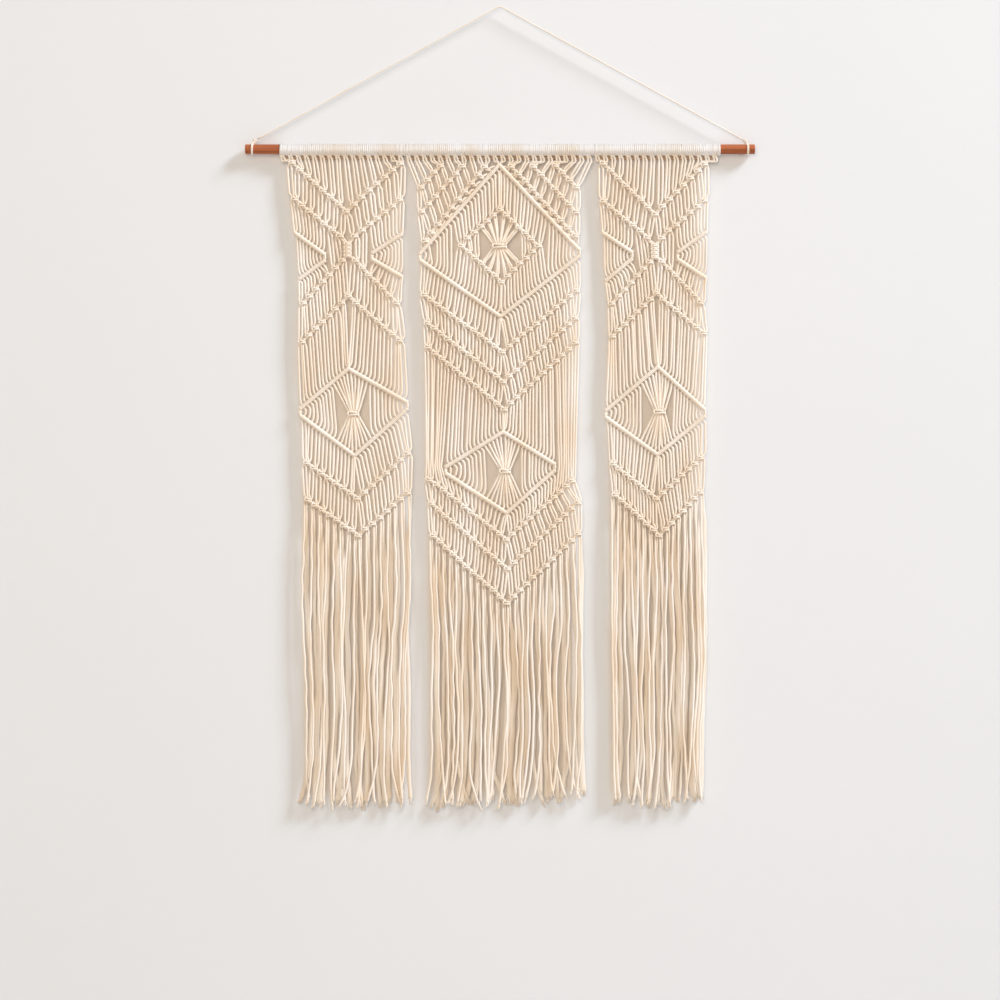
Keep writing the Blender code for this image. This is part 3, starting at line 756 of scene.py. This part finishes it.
def joined_cord(panel, cord, settings):
    """The stretches of one cord from its mounting knot through its last row."""
    radius, rng = settings.radius / MM, seeded(panel.name, "cord", cord)
    stretches = [root_stretch(panel, cord, radius)]
    kind, below = "knot", stretches[0].points[-1, 0]
    for event in cord_events(panel, cord, radius, settings.knot_radius / MM):
        over, stretch = stretches[-1], event.stretch
        fanned, from_bar = "fan" in (kind, event.kind), int(kind in ("hitch", "leader"))
        way_out, hook_out = run_end(over.points, True, kind, fanned, LEAVE_BAR)
        way_in, hook_in = run_end(stretch.points, False, event.kind, fanned, ENTER_BAR)
        hooks = hook_out, hook_in
        run = hooked_run(over.points[-1], way_out, stretch.points[0], way_in, hooks)
        homes, drops = None, run[0, 2] - run[-1, 2] > SAME_ROW
        if drops and below is not None and event.above is not None:
            homes = below, event.above[from_bar]
        reach = ENTRY_REACH[from_bar] if event.kind == "hitch" else None
        run = settled(run, homes, reach, rng, settings.wander / MM)
        thick = np.full(len(run), radius)
        thick[0], thick[-1] = over.radii[-1], stretch.radii[0]
        stretches += [Stretch(run, thick, CORDS), stretch]
        kind, below = event.kind, event.below
    return stretches


# ---------------------------------------------------------------- fringe

def fringe_path(panel, cord, start, settings):
    """A hanging cord: straight from its knot to its tip, plus sines that neighbours share
    in bunches, sines of its own, and a bend near the cut end. Their size grows downwards."""
    tips, share = panel.tips, cord / (2 * panel.pairs - 1)
    own = seeded(panel.name, "fringe", cord)
    bunch = seeded(panel.name, "bunch", int((cord + 1.3 * math.sin(cord)) / BUNCH))
    down = np.interp(share, [0.0, 0.5, 1.0], [tips.down_left, tips.down_middle, tips.down_right])
    down += own.uniform(-1.0, 0.6) * settings.uneven / MM
    drop = down + start[2]
    t = np.linspace(0.0, 1.0, int(drop / FRINGE_STEP) + 1)
    sway, depth = settings.sway / MM, settings.depth / MM
    tip = tips.left + share * (tips.right - tips.left)
    grow = ramp(t / 0.3) ** 1.3
    across = start[0] + t**0.8 * (tip - start[0])
    for rng, size in ((bunch, 1.0), (own, OWN_SWAY)):
        for waves, part in [(rng.uniform(*span), part) for span, part in SWAY_WAVES]:
            phase = rng.uniform(0.0, math.tau)
            across = across + grow * size * part * sway * np.sin(math.tau * waves * t + phase)
    hung = t * drop
    for wave in own.uniform(*KINK_WAVES):
        strength = KINK * own.uniform(0.4, 1.0) * np.sin(math.pi * np.clip(t * 3, 0.0, 0.5))
        phase = own.uniform(0.0, math.tau)
        across = across + strength * np.sin(math.tau * hung / wave + phase)
    curl = ramp((hung - drop + CURL) / CURL) ** 2
    across = across + own.normal(0.0, CURL_ASIDE) * curl
    across = across + own.normal(0.0, ASIDE) * ramp(t / 0.4)
    layer = depth * (LAYER if cord % 2 else -LAYER)
    layer += own.uniform(-LAYER_UNEVEN, LAYER_UNEVEN) * depth
    waves, phase = own.uniform(0.8, 2.0), own.uniform(0.0, math.tau)
    back = start[1] + ramp(t / 0.12) * (layer - start[1])
    back = back + LAYER_SWAY * depth * ramp(t / 0.3) * np.sin(math.tau * waves * t + phase)
    return np.stack([across, back, start[2] - hung], axis=1)


def fringe_radii(path, radius, tight, ribbon):
    """Thickness along a fringe cord and its width against that: it swells below its knot,
    widens to `ribbon` times, and opens into a rounded tuft at its cut end."""
    below = np.linalg.norm(path - path[0], axis=1)
    share = ramp(below / SWELL_LENGTH)
    radii = tight + (FRINGE_SWELL * radius - tight) * share
    radii = radii * (1 + (TUFT_SPREAD - 1) * ramp(1 - (below[-1] - below) / TUFT))
    radii[-1] *= 0.45
    return radii, 1 + (ribbon - 1) * share


def wisp_tubes(mesher, tip, way, rng, count, radius, wide):
    """Loose fibres at a cut end: thin tapering tubes that leave the end fanwise."""
    t = np.linspace(0.0, 1.0, len(WISP_TAPER))
    for _ in range(count):
        lean, curl = rng.normal(0.0, WISP_LEAN, 3), rng.normal(0.0, WISP_CURL, 3)
        lean[2] = curl[2] = 0.0
        base = tip + rng.normal(0.0, WISP_BASE, 3) * (wide, 1.0, 1.0) - WISP_SUNK * way
        path = base + rng.uniform(*WISP_LENGTH) * t[:, None] * (way + lean)
        path = path + curl * (t**2)[:, None]
        mesher.sweep(path, radius * WISP_TAPER, 4, np.full(len(t), 1 / 6), around=0.0)


# ---------------------------------------------------------------- materials

def tinted(colour, tint):
    """A colour times a tint, with its alpha."""
    return (*np.minimum(np.multiply(colour, tint), 1.0), 1.0)


class Nodes:
    """Small helper that adds and links the nodes of one material."""

    def __init__(self, name):
        self.material = bpy.data.materials.new(name)
        self.material.use_nodes = True
        self.tree = self.material.node_tree
        self.shader = self.tree.nodes["Principled BSDF"]
        self.place = self.add("ShaderNodeTexCoord").outputs["Object"]

    def add(self, kind, inputs=(), **settings):
        node = self.tree.nodes.new(kind)
        for key, value in settings.items():
            setattr(node, key, value)
        self.feed(node, inputs)
        return node

    def feed(self, node, inputs):
        """Link sockets to a node's inputs and set the other values on them."""
        for key, value in dict(inputs).items():
            if isinstance(value, bpy.types.NodeSocket):
                self.tree.links.new(value, node.inputs[key])
            else:
                node.inputs[key].default_value = value

    def maths(self, operation, *values):
        return self.add("ShaderNodeMath", dict(enumerate(values)), operation=operation).outputs[0]

    def total(self, *terms):
        """The sum of values, each times its weight."""
        first, *others = [self.maths("MULTIPLY", value, weight) for value, weight in terms]
        for other in others:
            first = self.maths("ADD", first, other)
        return first

    def mix(self, share, one, other, blend="MIX"):
        inputs = {0: share, 6: one, 7: other}
        return self.add("ShaderNodeMix", inputs, data_type="RGBA", blend_type=blend).outputs[2]

    def split(self, vector):
        return self.add("ShaderNodeSeparateXYZ", {"Vector": vector}).outputs

    def noise(self, scale, detail, stretch=None):
        """Noise in the object's space, drawn out by `stretch`."""
        place = self.place
        if stretch:
            place = self.add("ShaderNodeMapping", {"Vector": place, "Scale": stretch}).outputs[0]
        inputs = {"Vector": place, "Scale": scale, "Detail": detail}
        return self.add("ShaderNodeTexNoise", inputs).outputs[0]

    def spread(self, value, low, high, start=0.0, end=1.0, curve="LINEAR"):
        """The value's range from low to high, mapped to one from start to end."""
        inputs = {"Value": value, "From Min": low, "From Max": high, "To Min": start, "To Max": end}
        return self.add("ShaderNodeMapRange", inputs, interpolation_type=curve).outputs[0]

    def bump(self, height, strength, distance):
        inputs = {"Height": height, "Strength": strength, "Distance": distance}
        return self.add("ShaderNodeBump", inputs).outputs[0]

    def finish(self, inputs):
        self.feed(self.shader, inputs)
        return self.material


def cotton(name):
    """A finish of the twisted cotton, made once. Soft ridges and many fine fibre lines run
    round the cord as a helix on its own UV, and noise in the object's space varies the tone
    at random. The hollows between the ridges are painted darker and warmer as shade, and the
    wraps' finish is painted darker on top of the rod as shade."""
    if bpy.data.materials.get(name):
        return bpy.data.materials[name]
    tint, lines = COTTONS[name]
    colour = np.multiply(tuple(bpy.context.scene.macrame_cord.colour), tint)
    nodes = Nodes(name)
    u, v, _ = nodes.split(nodes.add("ShaderNodeUVMap", uv_map="cord").outputs[0])
    helix = nodes.maths("ADD", u, v)
    fuzz = nodes.noise(900.0, 2.0)
    turn = nodes.maths("MULTIPLY", helix, math.pi * TWIST_STRANDS)
    ridge = nodes.maths("ABSOLUTE", nodes.maths("SINE", turn))
    fibre = nodes.maths("SINE", nodes.total((helix, math.tau * lines), (fuzz, 3.0)))
    height = nodes.total((ridge, 0.7), (fibre, 0.12), (fuzz, 0.25))
    tone = nodes.spread(nodes.noise(1.0, 3.0, (30.0, 30.0, 9.0)), 0.35, 0.65)
    warm, pale = tinted(colour, (0.96, 0.905, 0.83)), tinted(colour, (1.03, 1.06, 1.1))
    # Painted shade: the hollows between the ridges are darker and warmer.
    groove_shade = nodes.spread(ridge, 0.0, 0.5, 0.25, 0.0)
    base = nodes.mix(groove_shade, nodes.mix(tone, warm, pale), tinted(colour, (0.8, 0.72, 0.6)))
    # Painted shade: the wraps are darker on top of the rod.
    if name == "bleached_cotton":
        axis = -ROD_DROP * MM
        top_shade = nodes.spread(nodes.split(nodes.place)[2], axis, axis + 7 * MM)
        base = nodes.mix(top_shade, base, WRAP_TOP_SHADE, "MULTIPLY")
    return nodes.finish({
        "Base Color": base, "Normal": nodes.bump(height, 0.5, 0.0003), "Roughness": 0.92,
        "Specular IOR Level": 0.2, "Sheen Weight": 0.25, "Sheen Roughness": 0.6,
    })


def wood_material(settings):
    """Stained dowel: noise drawn out along the rod for the grain, with fine pores."""
    nodes = Nodes("warm_wood")
    grain = nodes.noise(1.0, 5.0, (6.0, 260.0, 260.0))
    pores = nodes.spread(nodes.noise(1.0, 2.0, (40.0, 1500.0, 1500.0)), 0.58, 0.7, 0.0, 0.5)
    share = nodes.spread(grain, 0.35, 0.65)
    colour = nodes.mix(share, (*settings.dark_grain, 1.0), (*settings.light_grain, 1.0))
    height = nodes.maths("SUBTRACT", nodes.maths("MULTIPLY", grain, 0.5), pores)
    return nodes.finish({
        "Base Color": nodes.mix(pores, colour, (0.17, 0.05, 0.02, 1.0)),
        "Normal": nodes.bump(height, 0.4, 0.0002),
        "Roughness": nodes.spread(grain, 0.0, 1.0, 0.5, 0.66), "Specular IOR Level": 0.35,
    })


def glow_share(nodes):
    """How much a place on the backdrop lies behind a panel, where the panel's painted shadow
    and painted warm bounce light go: 1 inside its outline, falling smoothly to 0 round it."""
    across, _, height = nodes.split(nodes.place)
    share = 0.0
    for panel in PANELS:
        edges = [(row.left[0], row.right[0]) for row in panel.rows if row.turn and row.first == 0]
        left, right = np.median(edges, axis=0)
        middle = float(panel.centre + (left + right) / 2) * MM
        half = float(right - left) / 2 * MM - SHADOW_AND_BOUNCE_EDGE
        away = nodes.maths("ABSOLUTE", nodes.maths("SUBTRACT", across, middle))
        near, far = half - SHADOW_AND_BOUNCE_EDGE, half + SHADOW_AND_BOUNCE_EDGE
        share = nodes.maths("MAXIMUM", share, nodes.spread(away, near, far, 1.0, 0.0, "SMOOTHSTEP"))
    top, foot = -ROD_DROP * MM, -(ROD_DROP + PANELS[0].tips.down_left) * MM
    for start, end in ((top, top - 7 * SHADOW_AND_BOUNCE_EDGE), (foot - SHADOW_AND_BOUNCE_EDGE, foot + 5 * SHADOW_AND_BOUNCE_EDGE)):
        inside = nodes.spread(height, start, end, curve="SMOOTHSTEP")
        share = nodes.maths("MULTIPLY", share, inside)
    return share


def stage_material(name, colour, one_sided):
    """Matt paint with a faint mottle. A one-sided backdrop lets through what comes from
    behind, and behind the panels it carries a painted shadow, darker and warmer as painted
    bounce light from the cords."""
    nodes = Nodes(name)
    mottled = nodes.mix(nodes.noise(3.0, 2.0), tinted(colour, 1.0), tinted(colour, 0.985))
    if one_sided:
        # Painted shadow of the panels, warmer as painted bounce light.
        mottled = nodes.mix(glow_share(nodes), mottled, tinted(colour, SHADOW_AND_BOUNCE))
        behind = nodes.add("ShaderNodeNewGeometry").outputs["Backfacing"]
        clear = nodes.add("ShaderNodeBsdfTransparent").outputs[0]
        painted = nodes.shader.outputs[0]
        both = nodes.add("ShaderNodeMixShader", {0: behind, 1: painted, 2: clear}).outputs[0]
        nodes.feed(nodes.tree.nodes["Material Output"], {0: both})
    return nodes.finish({"Base Color": mottled, "Roughness": 0.95, "Specular IOR Level": 0.1})


# ---------------------------------------------------------------- operators

class MACRAME_OT_camera(bpy.types.Operator):
    """Set the camera straight before the hanging, as in the photograph"""

    bl_idname = "macrame.camera"
    bl_label = "Camera"

    def execute(self, context):
        settings = context.scene.macrame_stage
        data = bpy.data.cameras.new("camera")
        data.sensor_width = 36.0
        data.lens = data.sensor_width * settings.camera_distance / settings.view_width
        data.clip_end = 100.0
        camera = bpy.data.objects.new("camera", data)
        camera.location = (0.0, -settings.camera_distance, settings.view_middle)
        camera.rotation_euler = (math.pi / 2, 0.0, 0.0)
        context.scene.collection.objects.link(camera)
        context.scene.camera = camera
        return {"FINISHED"}


def hanger_path(radius):
    """The hanger's middle line: straight from each tie, round the hanging point in an arc."""
    top = radius - HANGER_BEND
    slope = math.atan2(top - HANGER_FOOT, HANGER_ACROSS)
    start = np.array([HANGER_ACROSS - HANGER_START_GAP * math.cos(slope),
                      HANGER_FOOT + HANGER_START_GAP * math.sin(slope)])
    angle = slope * np.linspace(1.0, 0.0, 7)
    arc = np.stack([HANGER_BEND * np.sin(angle), top + HANGER_BEND * np.cos(angle)], axis=1)
    share = np.linspace(0.0, 1.0, 60, endpoint=False)[:, None]
    half = np.vstack([start + share * (arc[0] - start), arc])
    return np.insert(np.vstack([half * (-1, 1), half[-2::-1]]), 1, 0.0, axis=1)


class MACRAME_OT_hanger(bpy.types.Operator):
    """Run the thin hanger cord from tie to tie over the hanging point"""

    bl_idname = "macrame.hanger"
    bl_label = "Hanger cord"

    def execute(self, context):
        radius = context.scene.macrame_rod.hanger_radius / MM
        path = hanger_path(radius)
        along = lengths_along(path)
        mesher = Mesher()
        mesher.sweep(path, radius, HANGER_SIDES, along / HANGER_PITCH)
        hanger = mesher.piece("hanger", cotton("hanger_cotton"))
        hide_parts("hanger_cord")
        return {"FINISHED"}


def tie_paths(side, radius):
    """Two turns of a helix round the rod, the cord's end, and the knot above: a threefold
    closed curve x = sin t + 2 sin 2t, z = cos t - 2 cos 2t, y = -sin 3t, to its size."""
    t = np.linspace(0.0, math.tau * TIE_TURNS, 41)
    middle = ROD_RADIUS + radius + ROD_CLEAR
    across = side * (TIE_ACROSS + 0.98 * radius * (t / math.pi - TIE_TURNS) / TIE_TURNS)
    turns = np.stack([across, -middle * np.sin(t), middle * np.cos(t) - ROD_DROP], axis=1)
    u = np.linspace(0.0, math.tau, 37)[:-1]
    knot = TIE_KNOT_SIZE * np.stack(
        [np.sin(u) + 2 * np.sin(2 * u), -1.1 * np.sin(3 * u), np.cos(u) - 2 * np.cos(2 * u)], axis=1
    )
    knot += (side * HANGER_ACROSS, 0.0, HANGER_FOOT - 0.8)
    marks = [(0.0, -0.8, 0.0), (1.5, -2.4, -0.5), (2.4, -3.4, -3.4), (2.2, -3.6, -6.6)]
    tail = smooth_curve(knot[0] + np.array(marks) * (side, 1.0, 1.0), 4)
    return turns, tail, np.vstack([knot, knot[:1]])


class MACRAME_OT_ties(bpy.types.Operator):
    """Tie the hanger cord round both ends of the rod"""

    bl_idname = "macrame.ties"
    bl_label = "Hanger ties"

    def execute(self, context):
        radius = context.scene.macrame_rod.hanger_radius / MM
        for name, side in (("left", -1), ("right", 1)):
            mesher = Mesher()
            turns, tail, knot = tie_paths(side, radius)
            for path in (turns, tail):
                mesher.sweep(path, radius, HANGER_SIDES, lengths_along(path) / HANGER_PITCH)
            mesher.sweep(knot, 0.9 * radius, HANGER_SIDES, np.linspace(0.0, 5.0, len(knot)))
            tie = mesher.piece("tie_" + name, cotton("hanger_cotton"))
            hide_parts("hanger_tie_" + name)
        return {"FINISHED"}


class MACRAME_OT_rod(bpy.types.Operator):
    """Turn the wooden rod, with eased end edges"""

    bl_idname = "macrame.rod"
    bl_label = "Rod"

    def execute(self, context):
        """Rings of the rod's radius along X; over the eased edge the radius falls as the
        quarter of a circle, and the ends close towards the axis."""
        turn = np.linspace(0.0, math.pi / 2, 5)
        end = np.stack([ROD_HALF_LENGTH - ROD_EASE * (1 - np.sin(turn)),
                        ROD_RADIUS - ROD_EASE * (1 - np.cos(turn))], axis=1)
        face = np.array([[ROD_HALF_LENGTH, ROD_RADIUS * k] for k in (0.7, 0.4, 0.12)])
        half = np.vstack([end, face])
        x = np.linspace(-1.0, 1.0, 61) * (ROD_HALF_LENGTH - 2.0)
        middle = np.stack([x, np.full(len(x), ROD_RADIUS)], axis=1)
        x, radii = np.vstack([half[::-1] * (-1, 1), middle, half]).T
        axis = np.stack([x, 0 * x, 0 * x - ROD_DROP], axis=1)
        side, other = (np.broadcast_to(way, axis.shape) for way in np.eye(3)[1:])
        mesher = Mesher()
        mesher.tube(ring_points(axis, side, other, radii, ROD_SIDES), x / ROD_UV)
        rod = mesher.piece("rod_wood", wood_material(context.scene.macrame_rod), slot="wood")
        rod.data.set_sharp_from_angle(angle=math.radians(40.0))
        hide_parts("rod")
        return {"FINISHED"}


def mounting_loops(panel, rng, sides):
    """Cords wound on the rod: circles about its axis, pressed flat on top and hanging a
    little looser below, each with its own small shift, lean and size."""
    count = WRAPS_IN_KNOT * panel.pairs
    pitch = (panel.wrap_right - panel.wrap_left) / count
    x = panel.wrap_left + pitch * (np.arange(count) + 0.5) + rng.normal(0.0, WRAP_SHIFT, count)
    turn = math.tau * np.arange(WRAP_STEPS) / WRAP_STEPS
    lean = rng.normal(0.0, WRAP_LEAN, count)
    lean = lean + WRAP_SLANT * np.where(np.arange(count) % WRAPS_IN_KNOT < 2, 1, -1)
    half = (WRAP_TOP + WRAP_FOOT) / 2 + (WRAP_TOP - WRAP_FOOT) / 2 * np.cos(turn)
    half = half * rng.uniform(*WRAP_SIZE, count)[:, None]
    reach = ROD_RADIUS + ROD_CLEAR + half
    across = x[:, None] + lean[:, None] * np.cos(turn)
    centres = np.stack([across, reach * np.sin(turn), reach * np.cos(turn)], axis=-1)
    outward = np.stack([np.zeros(WRAP_STEPS), np.sin(turn), np.cos(turn)], axis=-1)
    outward = np.broadcast_to(outward, centres.shape) * (half / WRAP_RADIUS)[..., None]
    along = np.broadcast_to([1.0, 0.0, 0.0], centres.shape)
    return ring_points(centres, outward, along, np.full(centres.shape[:2], WRAP_RADIUS), sides)


def binder_path(panel, rng):
    """A brown cord behind the wraps, under the rod, with a slight wave: a dark cord put there as
    painted shade that shows as dark dots between the cords.
    """
    x = np.arange(panel.wrap_left + 2.0, panel.wrap_right - 1.9, 3.0)
    wave = 0.25 * np.sin(x / 1.7 + rng.uniform(0.0, math.tau))
    return np.stack([x, SHADE_CORD_BACK + 0 * x, wave - SHADE_CORD_DOWN], axis=1)


def under_rod(panel):
    """Where the middle of a panel lies on the rod's axis."""
    return panel.centre, 0.0, -ROD_DROP


class MACRAME_OT_mounting(bpy.types.Operator):
    """Wind the mounting knots of each panel on the rod"""

    bl_idname = "macrame.mounting"
    bl_label = "Mounting knots"

    def execute(self, context):
        settings = context.scene.macrame_cord
        for panel in PANELS:
            name, at, rng = f"web_{panel.name}_", under_rod(panel), seeded("mounting", panel.name)
            wraps, binder = Mesher(), Mesher()
            for rings in mounting_loops(panel, rng, settings.sides - 1):
                wraps.tube(rings, np.linspace(0.0, WRAP_TWISTS, WRAP_STEPS + 1))
            wraps.piece(name + "mounting", cotton("bleached_cotton"), at)
            # A brown cord behind the wraps: painted shade between the cords under the rod.
            path = binder_path(panel, rng)
            along = path[:, 0] / (settings.twist_pitch / MM)
            binder.sweep(path, SHADE_CORD_RADIUS, settings.sides, along)
            binder.piece(name + "binder", cotton("brown_cotton"), at)
        return {"FINISHED"}


class MACRAME_OT_webs(bpy.types.Operator):
    """Knot the three webs and hang their fringes"""

    bl_idname = "macrame.webs"
    bl_label = "Webs and fringes"

    def execute(self, context):
        for panel in PANELS:
            self.make_panel(panel, context.scene.macrame_cord, context.scene.macrame_fringe)
        return {"FINISHED"}

    def make_panel(self, panel, settings, fringe):
        """Lay every cord through its web and on into one of the fringe's two layers: the
        front one of twisted cords, the back one of cords that have opened flat."""
        sides, pitch, radius = settings.sides, settings.twist_pitch / MM, settings.radius / MM
        webs, layers = [Mesher() for _ in range(3)], [Mesher() for _ in range(2)]
        cords, tails, widths = [], ([], []), ([], [])
        for cord in range(2 * panel.pairs):
            cords.append(joined_cord(panel, cord, settings))
            path = fringe_path(panel, cord, cords[-1][-1].points[-1], fringe)
            back, rng = cord % 2, seeded(panel.name, "wisp", cord)
            ribbon = rng.uniform(*RIBBON) if back else 1.0
            thick, wide = fringe_radii(path, radius, settings.knot_radius / MM, ribbon)
            tails[back].append([Stretch(path, thick, 0)])
            widths[back].append(wide)
            count, way = fringe.wisps * (1 + back), end_way(path, True)
            wisp_tubes(layers[back], path[-1], way, rng, count, radius, ribbon)
        lay_cords(cords, webs, sides, pitch)
        lay_cords(tails[0], layers[:1], sides, pitch)
        lay_cords(tails[1], layers[1:], sides + 1, UNTWISTED, widths[1])
        # The back layer's finish is darker as painted shade.
        at, finishes = under_rod(panel), ["natural_cotton"] * 4 + ["loose_cotton"]
        names = [f"web_{panel.name}_{part}" for part in ("cords", "knots", "bars")]
        names += [f"fringe_{panel.name}_{part}" for part in ("cords", "back")]
        web, knots, bars, hanging, opened = (
            mesher.piece(name, cotton(finish), at)
            for mesher, name, finish in zip(webs + layers, names, finishes)
        )
        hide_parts("web_" + panel.name)
        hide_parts("fringe_" + panel.name)


def add_plane(name, marks, material):
    """A flat piece of the stage with these corners."""
    mesh = bpy.data.meshes.new(name)
    mesh.from_pydata(marks, [], [(0, 1, 2, 3)])
    mesh.materials.append(material)
    thing = bpy.data.objects.new(name, mesh)
    bpy.context.scene.collection.objects.link(thing)
    return thing


def add_area_light(name, stands, size, power, colour):
    """A square light that points at the hanging's middle."""
    data = bpy.data.lights.new(name, "AREA")
    data.size, data.energy, data.color = size, power, colour
    light = bpy.data.objects.new(name, data)
    light.location = stands
    x, y, z = np.subtract(LIGHTS_AIM, stands)
    light.rotation_euler = (math.pi / 2 + math.atan2(z, math.hypot(x, y)), 0.0, -math.atan2(x, y))
    bpy.context.scene.collection.objects.link(light)


class MACRAME_OT_stage(bpy.types.Operator):
    """Put up the floor, the backdrop and the lights"""

    bl_idname = "macrame.stage"
    bl_label = "Stage"

    def execute(self, context):
        settings = context.scene.macrame_stage
        colour, y = tuple(settings.wall_colour), settings.wall_gap
        wall = add_plane(
            "backdrop", [(-WALL_HALF, y, FLOOR_LEVEL), (WALL_HALF, y, FLOOR_LEVEL),
                         (WALL_HALF, y, WALL_TOP), (-WALL_HALF, y, WALL_TOP)],
            stage_material("wall_paint", colour, True),
        )
        wall.visible_shadow = False
        marks = [(x * FLOOR_HALF, y * FLOOR_HALF, FLOOR_LEVEL)
                 for x, y in ((-1, -1), (1, -1), (1, 1), (-1, 1))]
        floor_colour = tuple(np.multiply(colour, FLOOR_TINT))
        add_plane("floor", marks, stage_material("floor_paint", floor_colour, False))
        for name, values in LIGHTS.items():
            add_area_light(name, *values)
        world = bpy.data.worlds.new("room")
        world.use_nodes = True
        sky = world.node_tree.nodes["Background"].inputs
        sky[0].default_value, sky[1].default_value = ROOM_LIGHT, ROOM_POWER
        context.scene.world = world
        context.scene.view_settings.view_transform = "Standard"
        return {"FINISHED"}


STEPS = (
    MACRAME_OT_camera,
    MACRAME_OT_hanger,
    MACRAME_OT_ties,
    MACRAME_OT_rod,
    MACRAME_OT_mounting,
    MACRAME_OT_webs,
    MACRAME_OT_stage,
)


class MACRAME_PT_hanging(bpy.types.Panel):
    """Buttons and sizes of the wall hanging"""

    bl_label = "Macrame wall hanging"
    bl_idname = "MACRAME_PT_hanging"
    bl_space_type = "VIEW_3D"
    bl_region_type = "UI"
    bl_category = "Macrame"

    def draw(self, context):
        for name, group in SETTINGS.items():
            box = self.layout.box()
            for field in group.__annotations__:
                box.prop(getattr(context.scene, name), field)
        for step in STEPS:
            self.layout.operator(step.bl_idname)


def register():
    for group in SETTINGS.values():
        bpy.utils.register_class(group)
    for name, group in SETTINGS.items():
        setattr(bpy.types.Scene, name, bpy.props.PointerProperty(type=group))
    for item in (*STEPS, MACRAME_PT_hanging):
        bpy.utils.register_class(item)


def unregister():
    for item in (MACRAME_PT_hanging, *reversed(STEPS)):
        bpy.utils.unregister_class(item)
    for name, group in SETTINGS.items():
        delattr(bpy.types.Scene, name)
        bpy.utils.unregister_class(group)


def main():
    """Make every piece in order."""
    register()
    for step in STEPS:
        group, name = step.bl_idname.split(".")
        getattr(getattr(bpy.ops, group), name)()


if __name__ == "__main__":
    main()
